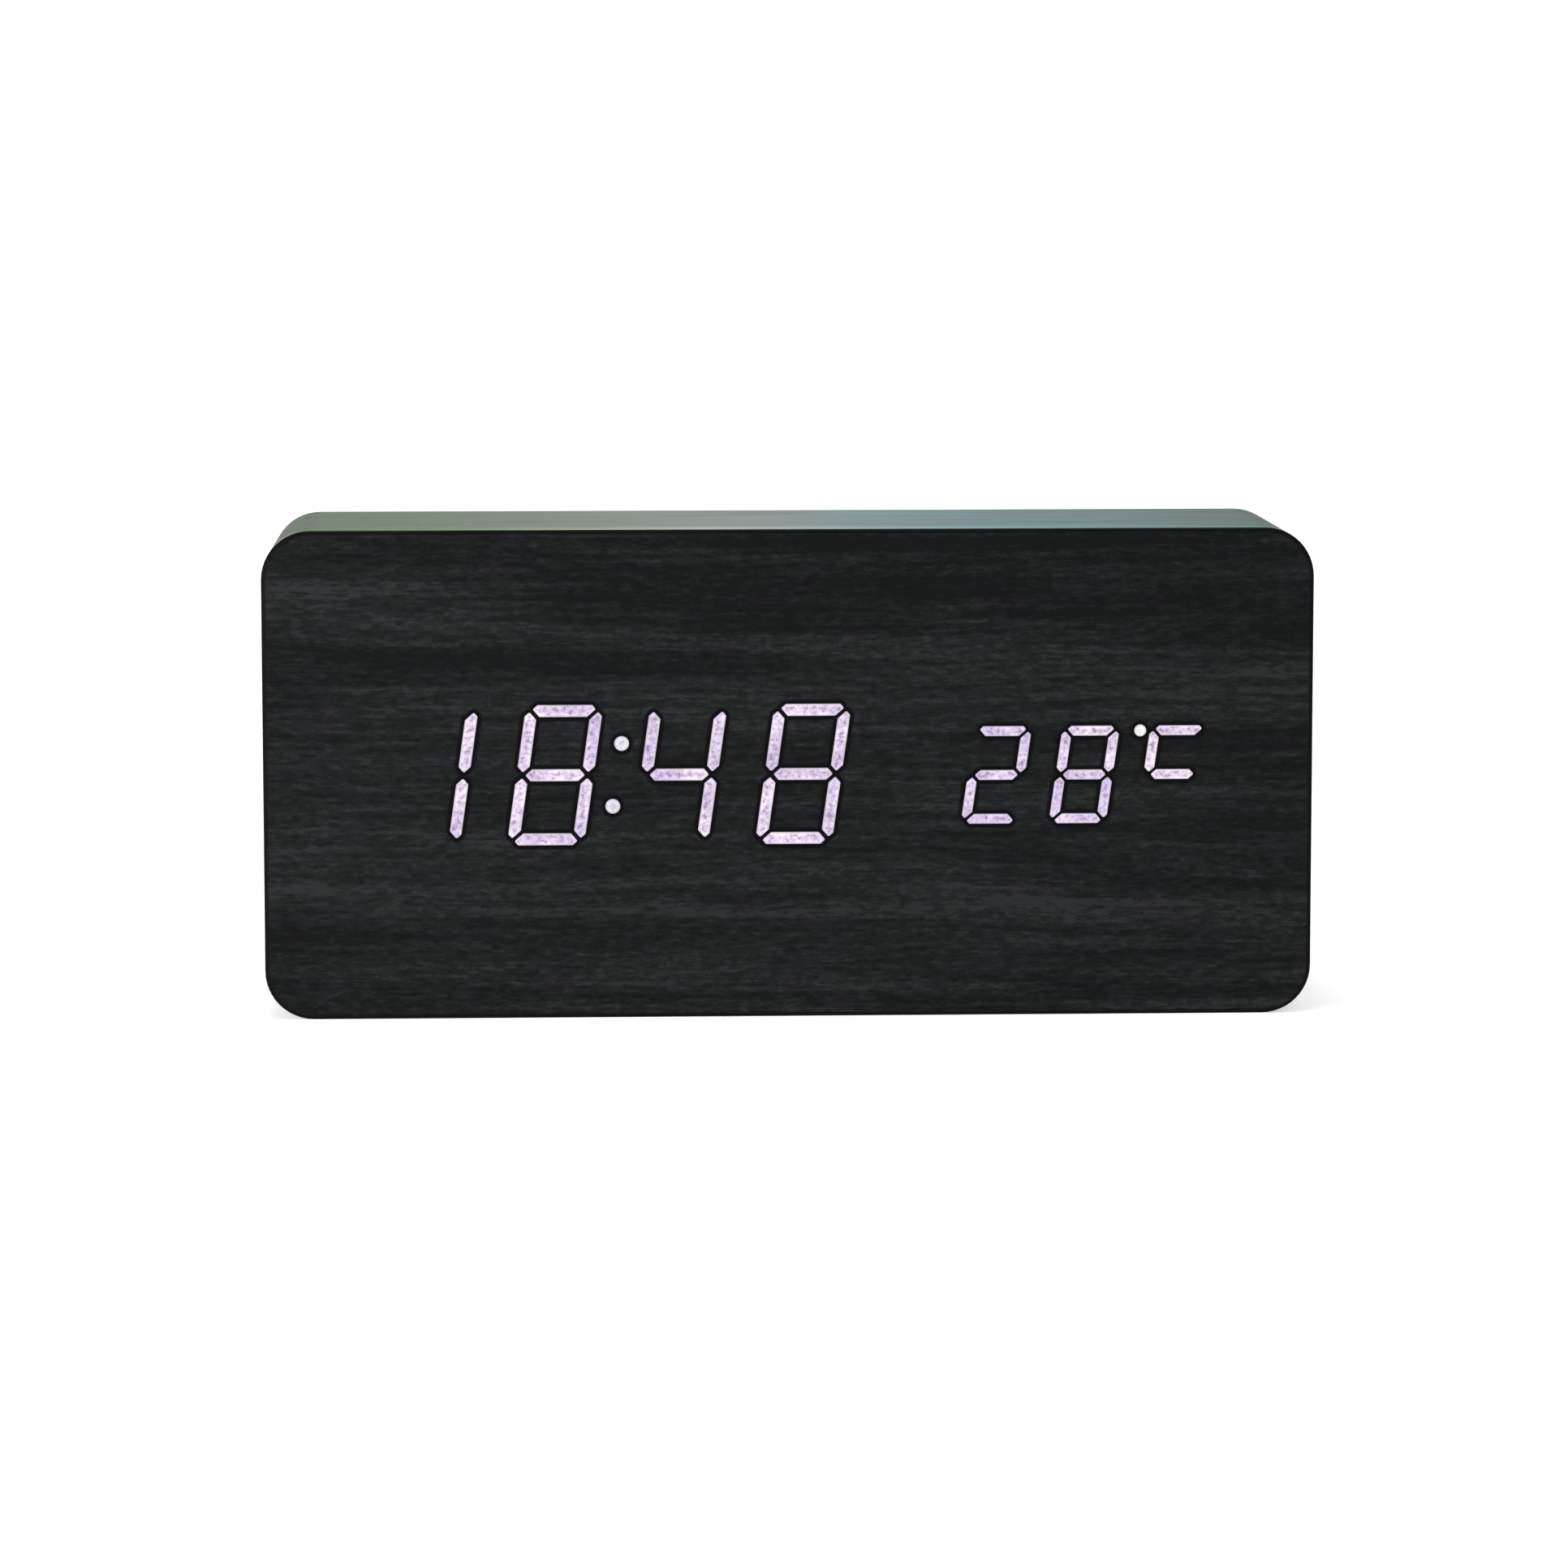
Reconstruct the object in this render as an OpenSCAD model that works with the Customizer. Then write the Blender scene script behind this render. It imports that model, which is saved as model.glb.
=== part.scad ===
// Digital alarm clock in a wooden case. Its figures shine through a grain film on the front.
// The front faces -Y, +X is to the right of the figures, and the clock stands on Z = 0.

/* [Case] */
// Width over the rounded sides
case_w = 150; // [135:1:180]
// Height from the base to the top
case_h = 70; // [63:1:90]
// Depth from the front film to the rear rim
case_d = 40; // [38:1:60]
// Radius of the four long edges
corner_r = 7; // [6:0.5:10]
// Thickness of the top, bottom and side walls
wall_t = 5; // [4:0.5:5.5]
// Thickness of the front wall behind the film
front_t = 5; // [4.5:0.5:7]
// Thickness of the grain film on the front
film_t = 0.6; // [0.4:0.1:0.8]
// Rounding of the film's front edge
film_round = 0.5; // [0.2:0.1:0.5]
// Rounding of the rear rim's outer edge
rim_round = 0.5; // [0.2:0.1:1]
// Side of the corner blocks that take the cover's screws
block_w = 12; // [10:0.5:13]
// Length of the corner blocks
block_len = 16; // [13:1:20]

/* [Shown figures] */
// Hour on the display
hours = 18; // [0:1:23]
// Minute on the display
minutes = 48; // [0:1:59]
// Temperature on the display, in degrees
temperature = 28; // [0:1:50]
// Width of a case that the sizes of the figures are given for
drawn_w = 150; // [120:1:180]

/* [Time figures] */
// Height of a figure
digit_h = 20.2; // [16:0.1:22]
// Width of a figure, before it is slanted
digit_w = 11.1; // [9:0.1:12]
// Width of a segment
digit_stroke = 1.8; // [1.6:0.1:2.4]
// Gap between two segments
digit_gap = 0.48; // [0.4:0.02:0.8]
// Length cut from a figure's outer corners
digit_cut = 1.3; // [0.8:0.1:1.5]
// Distance from one figure to the next
digit_pitch = 17.7; // [16:0.1:18]
// Middle of the four figures, from the middle of the case
digits_x = -24.6; // [-26:0.1:-23]
// Diameter of the two dots
colon_d = 2.2; // [1.6:0.1:2.6]
// Height of a dot over or under the middle of the figures
colon_rise = 4.5; // [3:0.1:6]
// Slant of all figures, in degrees
slant = 8.1; // [0:0.1:10]

/* [Temperature figures] */
// Height of a figure
temp_h = 14.1; // [12:0.1:16]
// Width of a figure, before it is slanted
temp_w = 8.3; // [7:0.1:9]
// Width of a segment
temp_stroke = 1.5; // [1.4:0.1:1.8]
// Gap between two segments
temp_gap = 0.36; // [0.3:0.02:0.6]
// Length cut from a figure's outer corners
temp_cut = 1; // [0.6:0.1:1.2]
// Distance from one figure to the next
temp_pitch = 12.6; // [11.5:0.1:13]
// Middle of the three figures, from the middle of the case
temps_x = 42.2; // [41:0.1:43]
// How far the figures sit under the middle of the time
temps_drop = 0.3; // [0:0.1:1]
// Diameter of the degree dot
degree_d = 1.8; // [1.6:0.1:2]
// Distance of the degree dot left of the unit mark's middle
degree_out = 4.6; // [4.4:0.1:4.8]
// Height of the degree dot over the unit mark's middle
degree_rise = 6.3; // [5.8:0.1:7]

/* [Display] */
// Margin of the mask around the figures
mask_margin = 2; // [1.5:0.1:3]
// Reach of the mask's flange past its nose
flange_lap = 5; // [4.5:0.1:5.5]
// Thickness of the mask's flange
flange_t = 4; // [3:0.1:5]
// Thickness of the circuit boards
board_t = 1.6; // [1:0.1:2]
// Width of a light source, along X
led_w = 1.2; // [0.8:0.1:1.2]
// Height of a light source, along Z
led_d = 1; // [0.6:0.1:1.2]
// How far a light source stands off the board
led_h = 0.6; // [0.4:0.1:1]
// Air between a light source and its guide
led_air = 0.3; // [0.2:0.1:1]
// How far the lit faces lie behind the film's face
lens_sunk = 0.05; // [0:0.01:0.2]

/* [Display board parts] */
// Side of the controller chip
controller_w = 10; // [7:0.5:14]
// Place of the controller chip, along X
controller_x = 6; // [2:1:10]
// Length of a driver chip
driver_len = 15; // [12:0.5:18]
// Width of a driver chip
driver_w = 5.4; // [4:0.2:7]
// Place of the driver chips, along X
driver_x = -22; // [-26:1:-18]
// Distance of a driver chip over or under the middle
driver_rise = 8; // [6:0.5:9]
// Height of the chips over the board
chip_h = 1.8; // [1:0.1:2.5]
// Distance between two legs of a chip
leg_pitch = 1.27; // [1:0.01:1.5]
// Width of a leg
leg_w = 0.4; // [0.3:0.05:0.5]
// Thickness of a leg
leg_t = 0.25; // [0.15:0.05:0.4]
// Reach of a leg past the chip's side
leg_reach = 0.9; // [0.5:0.1:1.2]
// Number of resistors in the row
resistor_count = 8; // [4:1:10]
// Length of a resistor
resistor_len = 2; // [1.6:0.1:3]
// Width and height of a resistor
resistor_w = 1; // [0.6:0.1:1.2]
// Distance between two resistors
resistor_pitch = 2.4; // [2:0.1:2.6]
// Height of the row of resistors over the middle
resistor_rise = 12; // [11:0.5:13]
// Diameter of the timing crystal's can
crystal_d = 2; // [1.5:0.1:3]
// Length of the timing crystal's can
crystal_len = 6; // [5:0.5:8]
// Height of the timing crystal under the middle
crystal_drop = 10; // [9:0.5:12]

/* [Backup cell] */
// Diameter of the coin cell
backup_d = 20; // [16:0.5:20]
// Thickness of the coin cell
backup_h = 3.2; // [1.6:0.1:3.4]
// Place of the coin cell, along X
backup_x = 38; // [30:1:42]
// Wall of the holder around the cell
holder_wall = 1.5; // [1:0.1:2]
// Floor of the holder under the cell
holder_floor = 0.8; // [0.5:0.1:1.5]
// Width of the clip over the cell
clip_w = 6; // [4:0.5:8]
// Thickness of the clip
clip_t = 0.4; // [0.3:0.1:0.6]

/* [Link between the boards] */
// Length of a connector, along Z
connector_len = 12.6; // [11:0.1:16]
// Width of a connector, along X
connector_w = 4.5; // [3:0.1:6]
// Height of a connector over its board
connector_h = 5; // [4:0.1:6]
// Place of the display board's connector, along X
connector_x = -46; // [-50:1:-42]
// Width of the ribbon cable
ribbon_w = 10.2; // [8:0.1:10.6]
// Thickness of the ribbon cable
ribbon_t = 0.9; // [0.6:0.1:1.2]
// Sideways step of the ribbon cable between the connectors
ribbon_step = 10; // [9:0.5:12]
// Straight length of the ribbon cable at each connector
ribbon_lead = 1; // [0.5:0.1:1.5]

/* [Rear cover] */
// Thickness of the cover
cover_t = 2.2; // [2:0.1:3]
// How far the cover lies inside the rear rim
cover_sunk = 1; // [0.9:0.1:1.5]
// Gap around the cover
cover_gap = 0.3; // [0.2:0.05:0.5]
// Depth of the seats of the cover's screw heads
head_sunk = 1.2; // [0.8:0.1:1.3]

/* [Battery bay] */
// Diameter of a cell
cell_d = 10.5; // [9.5:0.1:11]
// Length of a cell with its tip
cell_len = 44.5; // [43:0.1:46]
// Diameter of a cell's tip
tip_d = 3.8; // [3:0.1:5]
// Length of a cell's tip
tip_len = 1; // [0.8:0.1:1.4]
// Gap between two cells, and between a cell and the bay
cell_gap = 0.5; // [0.3:0.1:1]
// Air between a cell and the closed door
cell_air = 0.3; // [0.2:0.1:1]
// Room for a contact at each end of a cell
contact_room = 4.5; // [4.4:0.1:6]
// Wall of the bay
bay_wall = 1.5; // [1.4:0.1:2]
// Distance of the bay's middle from the right end of the case
bay_x = 51; // [51:1:56]

/* [Contacts] */
// Thickness of a contact plate
plate_t = 0.4; // [0.3:0.05:0.6]
// Width of a contact plate at one cell
plate_w = 7; // [6:0.1:9]
// Height of a contact plate over the bay's floor
plate_h = 7.8; // [7:0.1:8.2]
// Height of the strip that joins the plates of two cells
bridge_h = 3; // [2:0.1:5]
// Width of a plate's tail
tail_w = 2; // [1:0.1:3]
// Reach of a plate's tail past the bay's wall
tail_reach = 2; // [1.5:0.1:3]
// Height of a plate's tail over the bay's floor
tail_rise = 1; // [0.6:0.1:1.4]
// Wire diameter of a coil
wire_d = 0.6; // [0.4:0.05:0.6]
// Turns of a coil
coil_turns = 3; // [2:0.5:3]
// Radius of a coil at its plate
coil_base_r = 3.1; // [2.8:0.1:3.4]
// Radius of a coil at its cell
coil_end_r = 1.9; // [1.5:0.1:2.2]
// Diameter of a lead
lead_d = 1.2; // [0.8:0.1:1.4]
// Radius of a lead's bends
bend_r = 1.2; // [1:0.1:1.6]

/* [Battery door] */
// Thickness of the door
door_t = 1.5; // [1.2:0.1:1.5]
// Lap of the door on its ledge
door_lap = 1.5; // [1:0.1:2.5]
// Gap around the door
door_gap = 0.2; // [0.15:0.05:0.3]
// Air between the door and its ledge
ledge_air = 0.1; // [0.05:0.05:0.2]
// Thickness of the lip that holds the door's hooks
lip_t = 1.1; // [0.9:0.1:1.1]
// Reach of a hook past the hinge axis
hook_len = 1.6; // [1.3:0.1:1.8]
// Thickness of a hook
hook_t = 0.8; // [0.6:0.1:0.8]
// Width of a hook
hook_w = 6; // [4:0.5:8]
// Length of a hook's root under the door
hook_root = 1.6; // [1.2:0.1:1.8]
// Distance of a hook from the door's middle
hook_rise = 10; // [8:0.5:12]
// Air over a hook
hook_air = 0.15; // [0.1:0.05:0.3]
// Width of the latch
latch_w = 10; // [8:0.5:14]
// Thickness of the latch's leaf
latch_t = 0.8; // [0.6:0.1:0.9]
// Depth of the latch under the door
latch_drop = 2.6; // [2.4:0.1:2.8]
// Length of the latch's bend along the door
latch_len = 4; // [3.5:0.1:4.2]
// Reach of the latch's barb
barb_len = 0.8; // [0.5:0.1:0.9]
// Height of the latch's barb
barb_h = 0.8; // [0.5:0.1:0.9]
// Gap around the latch
latch_gap = 0.2; // [0.15:0.05:0.3]
// Number of grip ridges on the door
ridge_count = 4; // [2:1:6]
// Distance between two ridges
ridge_pitch = 2; // [1.6:0.1:2.5]
// Width of a ridge
ridge_w = 0.8; // [0.5:0.1:1]
// Height of a ridge
ridge_h = 0.4; // [0.2:0.1:0.6]
// Length of a ridge
ridge_len = 12; // [8:1:16]
// Radius of the thumb hollow beside the door
thumb_r = 8; // [6:0.5:10]
// Depth of the thumb hollow
thumb_depth = 1; // [0.5:0.1:1.2]

/* [Buttons] */
// Diameter of a button
button_d = 7; // [6:0.1:8]
// Distance between two buttons
button_pitch = 11; // [10:0.5:12]
// How far a button stands out of the cover
button_proud = 0.8; // [0.5:0.1:0.9]
// How far a button can be pressed
button_travel = 0.5; // [0.3:0.1:0.6]
// Gap around a button
button_gap = 0.2; // [0.15:0.05:0.3]
// Diameter of a button's collar
collar_d = 9; // [8.6:0.1:9.6]
// Thickness of a button's collar
collar_t = 1.2; // [0.8:0.1:1.5]
// Air between a collar and the cover
collar_air = 0.1; // [0.05:0.05:0.2]
// Rounding of a button's rim
button_round = 0.4; // [0.2:0.1:0.6]
// Radius of the mark on a button
mark_r = 1.8; // [1.2:0.1:2.2]
// Depth of the mark on a button
mark_depth = 0.3; // [0.2:0.1:0.5]

/* [Switches] */
// Side of a switch
switch_w = 6; // [5:0.1:7]
// Height of a switch's base
switch_h = 3.1; // [2.6:0.1:4]
// Thickness of a switch's lid
lid_t = 0.3; // [0.2:0.1:0.5]
// Diameter of a switch's plunger
plunger_d = 3.4; // [2.5:0.1:3.6]
// How far a plunger stands out of its lid
plunger_proud = 0.9; // [0.8:0.1:1.2]
// Gap around a plunger
plunger_gap = 0.15; // [0.1:0.05:0.25]
// Floor of a switch under its plunger
switch_floor = 1.2; // [0.8:0.1:1.4]

/* [Control board] */
// Width of the board
control_w = 37; // [36:1:40]
// Height of the board
control_h = 46; // [44:1:48]
// Middle of the board, from the middle of the case
control_x = -31.5; // [-33:0.5:-30]
// Distance of the buttons and the socket left of the board's middle
controls_out = 12; // [11:0.5:14]
// Height of the middle button over the middle of the case
buttons_rise = 6; // [5:0.5:7]
// Depth of the power socket under the middle of the case
socket_drop = 18; // [17:0.5:20]
// Distance of the sounder and sensors right of the board's middle
sensors_out = 9; // [8:0.5:10]
// Diameter of the posts that carry the board
post_d = 5; // [4.4:0.1:5.4]
// Distance of the side posts left of the board's middle
post_out = 3; // [2.5:0.1:3.5]
// Height of the side posts over or under the middle
post_rise = 19; // [18.5:0.5:20]
// Distance of the third post right of the board's middle
post_far = 15.5; // [14:0.5:16]

/* [Power socket] */
// Width of the socket's shell
socket_w = 7.5; // [7:0.1:8]
// Height of the socket's shell
socket_h = 2.7; // [2.5:0.1:3.2]
// Cut on the shell's two lower corners
socket_cut = 1; // [0.6:0.1:1.2]
// Thickness of the shell
shell_t = 0.3; // [0.2:0.05:0.4]
// How far the shell's mouth lies inside the cover's face
mouth_sunk = 0.4; // [0:0.1:0.6]
// Height of the insulator's floor
insulator_h = 1.5; // [1:0.1:2.5]
// Width of the tongue
tongue_w = 3.9; // [3:0.1:4.2]
// Thickness of the tongue
tongue_t = 0.7; // [0.5:0.05:0.8]
// How far the tongue ends inside the mouth
tongue_sunk = 1; // [0.5:0.1:2]

/* [Sounder and sensors] */
// Diameter of the buzzer
buzzer_d = 12; // [9:0.5:12]
// Height of the buzzer
buzzer_h = 5; // [4:0.1:5.2]
// Height of the buzzer over the middle of the case
buzzer_rise = 9; // [8:0.5:11]
// Diameter of a sound hole
sound_d = 1.2; // [0.8:0.1:1.5]
// Distance between two sound holes
sound_pitch = 2.4; // [2:0.1:3]
// Rings of sound holes around the middle one
sound_rings = 2; // [1:1:2]
// Diameter of the microphone
microphone_d = 6; // [4:0.5:7]
// Height of the microphone
microphone_h = 2.7; // [2:0.1:4]
// Depth of the microphone under the middle of the case
microphone_drop = 7; // [6:0.5:8]
// Diameter of the temperature sensor's bead
bead_d = 2.4; // [1.6:0.1:3]
// Height of the bead's middle over the board
bead_rise = 3.6; // [2.5:0.1:4]
// Diameter of the bead's two wires
bead_wire_d = 0.5; // [0.4:0.05:0.7]
// Distance between the bead's two wires
bead_wire_pitch = 1.27; // [1:0.01:1.5]
// Depth of the temperature sensor under the middle of the case
sensor_drop = 17; // [16:0.5:18]
// Number of air slots
slot_count = 4; // [2:1:5]
// Length of an air slot
slot_len = 8; // [5:0.5:10]
// Width of an air slot
slot_w = 1.2; // [0.8:0.1:1.4]
// Distance between two air slots
slot_pitch = 2.4; // [2:0.1:3]

/* [Screws] */
// Shank diameter of the cover's screws
cover_screw_d = 2.6; // [2:0.1:3]
// Depth of the cover's screws in their blocks
cover_bite = 10; // [8:0.5:11]
// Head diameter of the cover's screws
cover_head_d = 5; // [4.2:0.1:5.6]
// Head height of the cover's screws
cover_head_h = 1.6; // [1.2:0.1:1.9]
// Shank diameter of the boards' screws
board_screw_d = 2; // [1.6:0.1:2.2]
// Depth of the boards' screws in what they hold to
board_bite = 3.4; // [3:0.1:3.8]
// Head diameter of the boards' screws
board_head_d = 3.8; // [3.2:0.1:4]
// Head height of the boards' screws
board_head_h = 1.3; // [1:0.1:1.6]
// Width of the cross in a screw's head
cross_w = 0.7; // [0.5:0.1:0.8]
// Length of the cross, as a share of the head's diameter
cross_share = 0.6; // [0.5:0.05:0.7]

/* [Fits] */
// Clearance of a piece dropped into its place
drop_fit = 0.2; // [0.1:0.05:0.3]
// Clearance of a piece pressed into its place
press_fit = 0.05; // [0.02:0.01:0.1]

/* [Hidden] */
$fn = 48;
// Overshoot of a cut past the face that it opens
cut = 1;
root2 = sqrt(2);
mid_z = case_h / 2;

// Planes across the depth, from the front to the rear
y_front = -case_d / 2;
y_film = y_front + film_t;
y_wall = y_film + front_t;
y_flange = y_wall + flange_t;
y_guide = y_flange - led_h - led_air;
y_board = y_flange + board_t;
y_rear = case_d / 2;
y_cover_out = y_rear - cover_sunk;
y_cover_in = y_cover_out - cover_t;
y_collar = y_cover_in - collar_air - collar_t;
y_lid = y_collar - plunger_proud;
y_base = y_lid - lid_t;
y_control = y_base - switch_h;
y_control_front = y_control - board_t;

// Inside of the case
cavity_w = case_w - 2 * wall_t;
cavity_h = case_h - 2 * wall_t;
cavity_r = corner_r - wall_t;
screw_x = cavity_w / 2 - block_w / 2;
screw_z = cavity_h / 2 - block_w / 2;

// Segments are numbered 0 to 6: top, upper right, lower right, bottom, lower left, upper left, middle
FIGURES = [
  [0, 1, 2, 3, 4, 5], [1, 2], [0, 1, 3, 4, 6], [0, 1, 2, 3, 6], [1, 2, 5, 6],
  [0, 2, 3, 5, 6], [0, 2, 3, 4, 5, 6], [0, 1, 2], [0, 1, 2, 3, 4, 5, 6], [0, 1, 2, 3, 5, 6]
];
UNIT_MARK = [0, 5, 6];
lit_time = [for (n = [floor(hours / 10), hours % 10, floor(minutes / 10), minutes % 10]) FIGURES[n]];
lit_temp = [FIGURES[floor(temperature / 10)], FIGURES[temperature % 10], UNIT_MARK];
dark_time = [for (list = lit_time) others(list)];
dark_temp = [for (list = lit_temp) others(list)];
// Figures keep their share of the case's width
share = case_w / drawn_w;
digit_size = share * [digit_w / 2, digit_h / 2, digit_stroke, digit_gap / root2, digit_cut];
temp_size = share * [temp_w / 2, temp_h / 2, temp_stroke, temp_gap / root2, temp_cut];
temps_z = mid_z - share * temps_drop;
degree_place = [temp_place(2) - share * degree_out, temps_z + share * degree_rise];

// Mask, from the figures' outermost corners
mask_x0 = digit_place(0) - digit_size[0] - digit_size[1] * tan(slant) - mask_margin;
mask_x1 = temp_place(2) + temp_size[0] + temp_size[1] * tan(slant) + mask_margin;
mask_w = mask_x1 - mask_x0;
mask_h = 2 * digit_size[1] + 2 * mask_margin;
mask_x = (mask_x0 + mask_x1) / 2;
display_screw_x = mask_w / 2 + flange_lap / 2;
display_screw_z = mask_h / 2 + flange_lap / 2;

// Battery bay and its door
cell_count = 3;
cell_pitch = cell_d + cell_gap;
bay_len = cell_len + 2 * contact_room;
bay_h = cell_count * cell_pitch + cell_gap;
bay_mid = case_w / 2 - bay_x;
bay_x0 = bay_mid - bay_len / 2;
bay_x1 = bay_mid + bay_len / 2;
y_door = y_cover_out - door_t;
y_ledge = y_door - ledge_air;
y_cell = y_door - cell_air - cell_d / 2;
y_bay = y_cell - cell_d / 2 - press_fit;
hinge_x = bay_x0 + hook_len + 3 * door_gap;
hinge_y = y_cover_out - door_t / 2;
y_hook = y_cover_out - lip_t - hook_air;
door_x1 = bay_x1 + door_lap;
door_h = bay_h + 2 * door_lap;
lip_x = hinge_x - door_t / 2 - door_gap;
latch_x = bay_x1 - latch_gap;
y_latch = y_door - latch_drop;
y_barb = y_cover_in - hook_air - barb_h;
tail_y = y_bay + tail_rise;
tip_depth = contact_room - plate_t - press_fit;

// Coils and leads
coil_len = contact_room - plate_t - 2 * press_fit;
coil_steps = coil_turns * 8;
coil = [for (i = [0:coil_steps]) coil_point(i / coil_steps)];
coil_room = min([
  for (i = [0:coil_steps], j = [0:coil_steps]) if (j - i > 4) norm(coil[i] - coil[j])
]) - wire_d;
lead_x = control_x + control_w / 2 - 2 * lead_d;
lead_top = mid_z + bay_h / 2 + bay_wall + drop_fit + lead_d / 2;
red_route = [
  [bay_x0 - bay_wall - tail_reach, tail_y, cell_z(0)],
  [lead_x, tail_y, cell_z(0)],
  [lead_x, y_control_front, cell_z(0)]
];
black_x = bay_x1 + bay_wall + tail_reach;
black_route = [
  [black_x, tail_y, cell_z(cell_count - 1)],
  [black_x + 2 * bend_r, tail_y, cell_z(cell_count - 1)],
  [black_x + 2 * bend_r, tail_y, lead_top],
  [lead_x, tail_y, lead_top],
  [lead_x, y_control_front, lead_top]
];
echo(str("least gap of a contact coil to itself: ", coil_room));

// Places on the control board
controls_x = control_x - controls_out;
sensors_x = control_x + sensors_out;
posts = [
  [control_x - post_out, mid_z + post_rise],
  [control_x - post_out, mid_z - post_rise],
  [control_x + post_far, mid_z]
];
ribbon_gap = y_control_front - y_board - 2 * connector_h;
ribbon_r = ribbon_gap / 2 - ribbon_lead;

function digit_place(i) = share * (digits_x + (i - 1.5) * digit_pitch);
function temp_place(i) = share * (temps_x + (i - 1) * temp_pitch);
function colon_place(k) = [share * (digits_x + k * colon_rise * tan(slant)), mid_z + share * k * colon_rise];
function button_z(i) = mid_z + buttons_rise + (1 - i) * button_pitch;
function cell_z(i) = mid_z + (i - (cell_count - 1) / 2) * cell_pitch;
function others(list) = [for (n = [0:6]) if (len(search(n, list)) == 0) n];
function flip_x(points) = [for (p = points) [-p.x, p.y]];
function flip_y(points) = [for (p = points) [p.x, -p.y]];
function slanted(points) = [for (p = points) [p.x + p.y * tan(slant), p.y]];

// Outline of one segment of a figure of size s, grown outward by g
function top_bar(s, g, reach) = [
  [s[2] + g - reach, s[1] - s[2] - g],
  [reach - s[2] - g, s[1] - s[2] - g],
  [reach - s[4] / 2, s[1] - s[4] / 2],
  [reach - s[4] - g, s[1] + g],
  [s[4] + g - reach, s[1] + g],
  [s[4] / 2 - reach, s[1] - s[4] / 2]
];
function side_bar(s, g, reach, foot) = [
  [s[0] - s[2] - g, foot + s[2] / 2 + g],
  [s[0] - s[2] / 2, foot],
  [s[0] + g, foot + s[2] / 2 + g],
  [s[0] + g, reach - s[4] - g],
  [s[0] - s[4] / 2, reach - s[4] / 2],
  [s[0] - s[2] - g, reach - s[2] - g]
];
function middle_bar(s, g, tip) = [
  [-tip, 0],
  [s[2] / 2 + g - tip, -s[2] / 2 - g],
  [tip - s[2] / 2 - g, -s[2] / 2 - g],
  [tip, 0],
  [tip - s[2] / 2 - g, s[2] / 2 + g],
  [s[2] / 2 + g - tip, s[2] / 2 + g]
];
function segment(n, s, g) =
  let (
    room = s[3] - g * root2,
    bar = top_bar(s, g, s[0] - room),
    side = side_bar(s, g, s[1] - room, room)
  )
  n == 0 ? bar :
  n == 1 ? side :
  n == 2 ? flip_y(side) :
  n == 3 ? flip_y(bar) :
  n == 4 ? flip_x(flip_y(side)) :
  n == 5 ? flip_x(side) :
  middle_bar(s, g, s[0] - s[2] / 2 - room);
function segment_middle(n, s) =
  n == 0 ? [0, s[1] - s[2] / 2] :
  n == 3 ? [0, s[2] / 2 - s[1]] :
  n == 6 ? [0, 0] :
  [(n < 3 ? 1 : -1) * (s[0] - s[2] / 2), (n == 1 || n == 5 ? 1 : -1) * s[1] / 2];

// Point of a contact coil at share t of its length, along +X
function coil_point(t) =
  let (r = coil_base_r + (coil_end_r - coil_base_r) * t)
  [
    wire_d / 2 + t * (coil_len - wire_d),
    r * cos(360 * coil_turns * t),
    r * sin(360 * coil_turns * t)
  ];
function unit(v) = v / norm(v);
function square_to(v, t) = unit(v - t * (v * t));
function tangents(path) =
  let (last = len(path) - 1)
  [for (i = [0:last]) unit(path[min(i + 1, last)] - path[max(i - 1, 0)])];
// One side direction for each ring, each turned as little as can be from the last
function sides_of(ts, start, i = 0) =
  i == len(ts) ? [] :
  let (v = square_to(start, ts[i]))
  concat([v], sides_of(ts, v, i + 1));
// Route with its square corners rounded
function rounded(route, r) = concat(
  [route[0]],
  [
    for (i = [1:len(route) - 2], a = [0:30:90])
      let (
        u = unit(route[i - 1] - route[i]),
        v = unit(route[i + 1] - route[i])
      )
      route[i] + (u + v) * r - v * r * cos(a) - u * r * sin(a)
  ],
  [route[len(route) - 1]]
);

// Extrudes an outline in X and Z from depth y0 to depth y1
module span(y0, y1) {
  translate([0, y1, 0])
    rotate([90, 0, 0])
      linear_extrude(y1 - y0)
        children();
}

// Extrudes an outline in X and Y from height z0 to height z1
module rise(z0, z1) {
  translate([0, 0, z0])
    linear_extrude(z1 - z0)
      children();
}

module rounded_rect(w, h, r) {
  square([w - 2 * r, h], center = true);
  square([w, h - 2 * r], center = true);
  for (x = [-1, 1], y = [-1, 1])
    translate([x * (w / 2 - r), y * (h / 2 - r)])
      circle(r);
}

// Half of a bar's cross-section, from its middle out, with its upper edge rounded
module edge_profile(half, t, round_r) {
  square([half, t - round_r]);
  square([half - round_r, t]);
  translate([half - round_r, t - round_r])
    intersection() {
      circle(round_r);
      square(round_r);
    }
}

// Slab with rounded corners and one rounded rim
module round_slab(w, h, r, t, round_r) {
  for (side = [0, 1]) {
    mirror([0, side, 0])
      rotate([90, 0, 90])
        linear_extrude(w - 2 * r, center = true)
          edge_profile(h / 2, t, round_r);
    mirror([side, 0, 0])
      rotate([90, 0, 0])
        linear_extrude(h - 2 * r, center = true)
          edge_profile(w / 2, t, round_r);
  }
  for (x = [-1, 1], y = [-1, 1])
    translate([x * (w / 2 - r), y * (h / 2 - r), 0])
      rotate_extrude()
        edge_profile(r, t, round_r);
}

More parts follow.
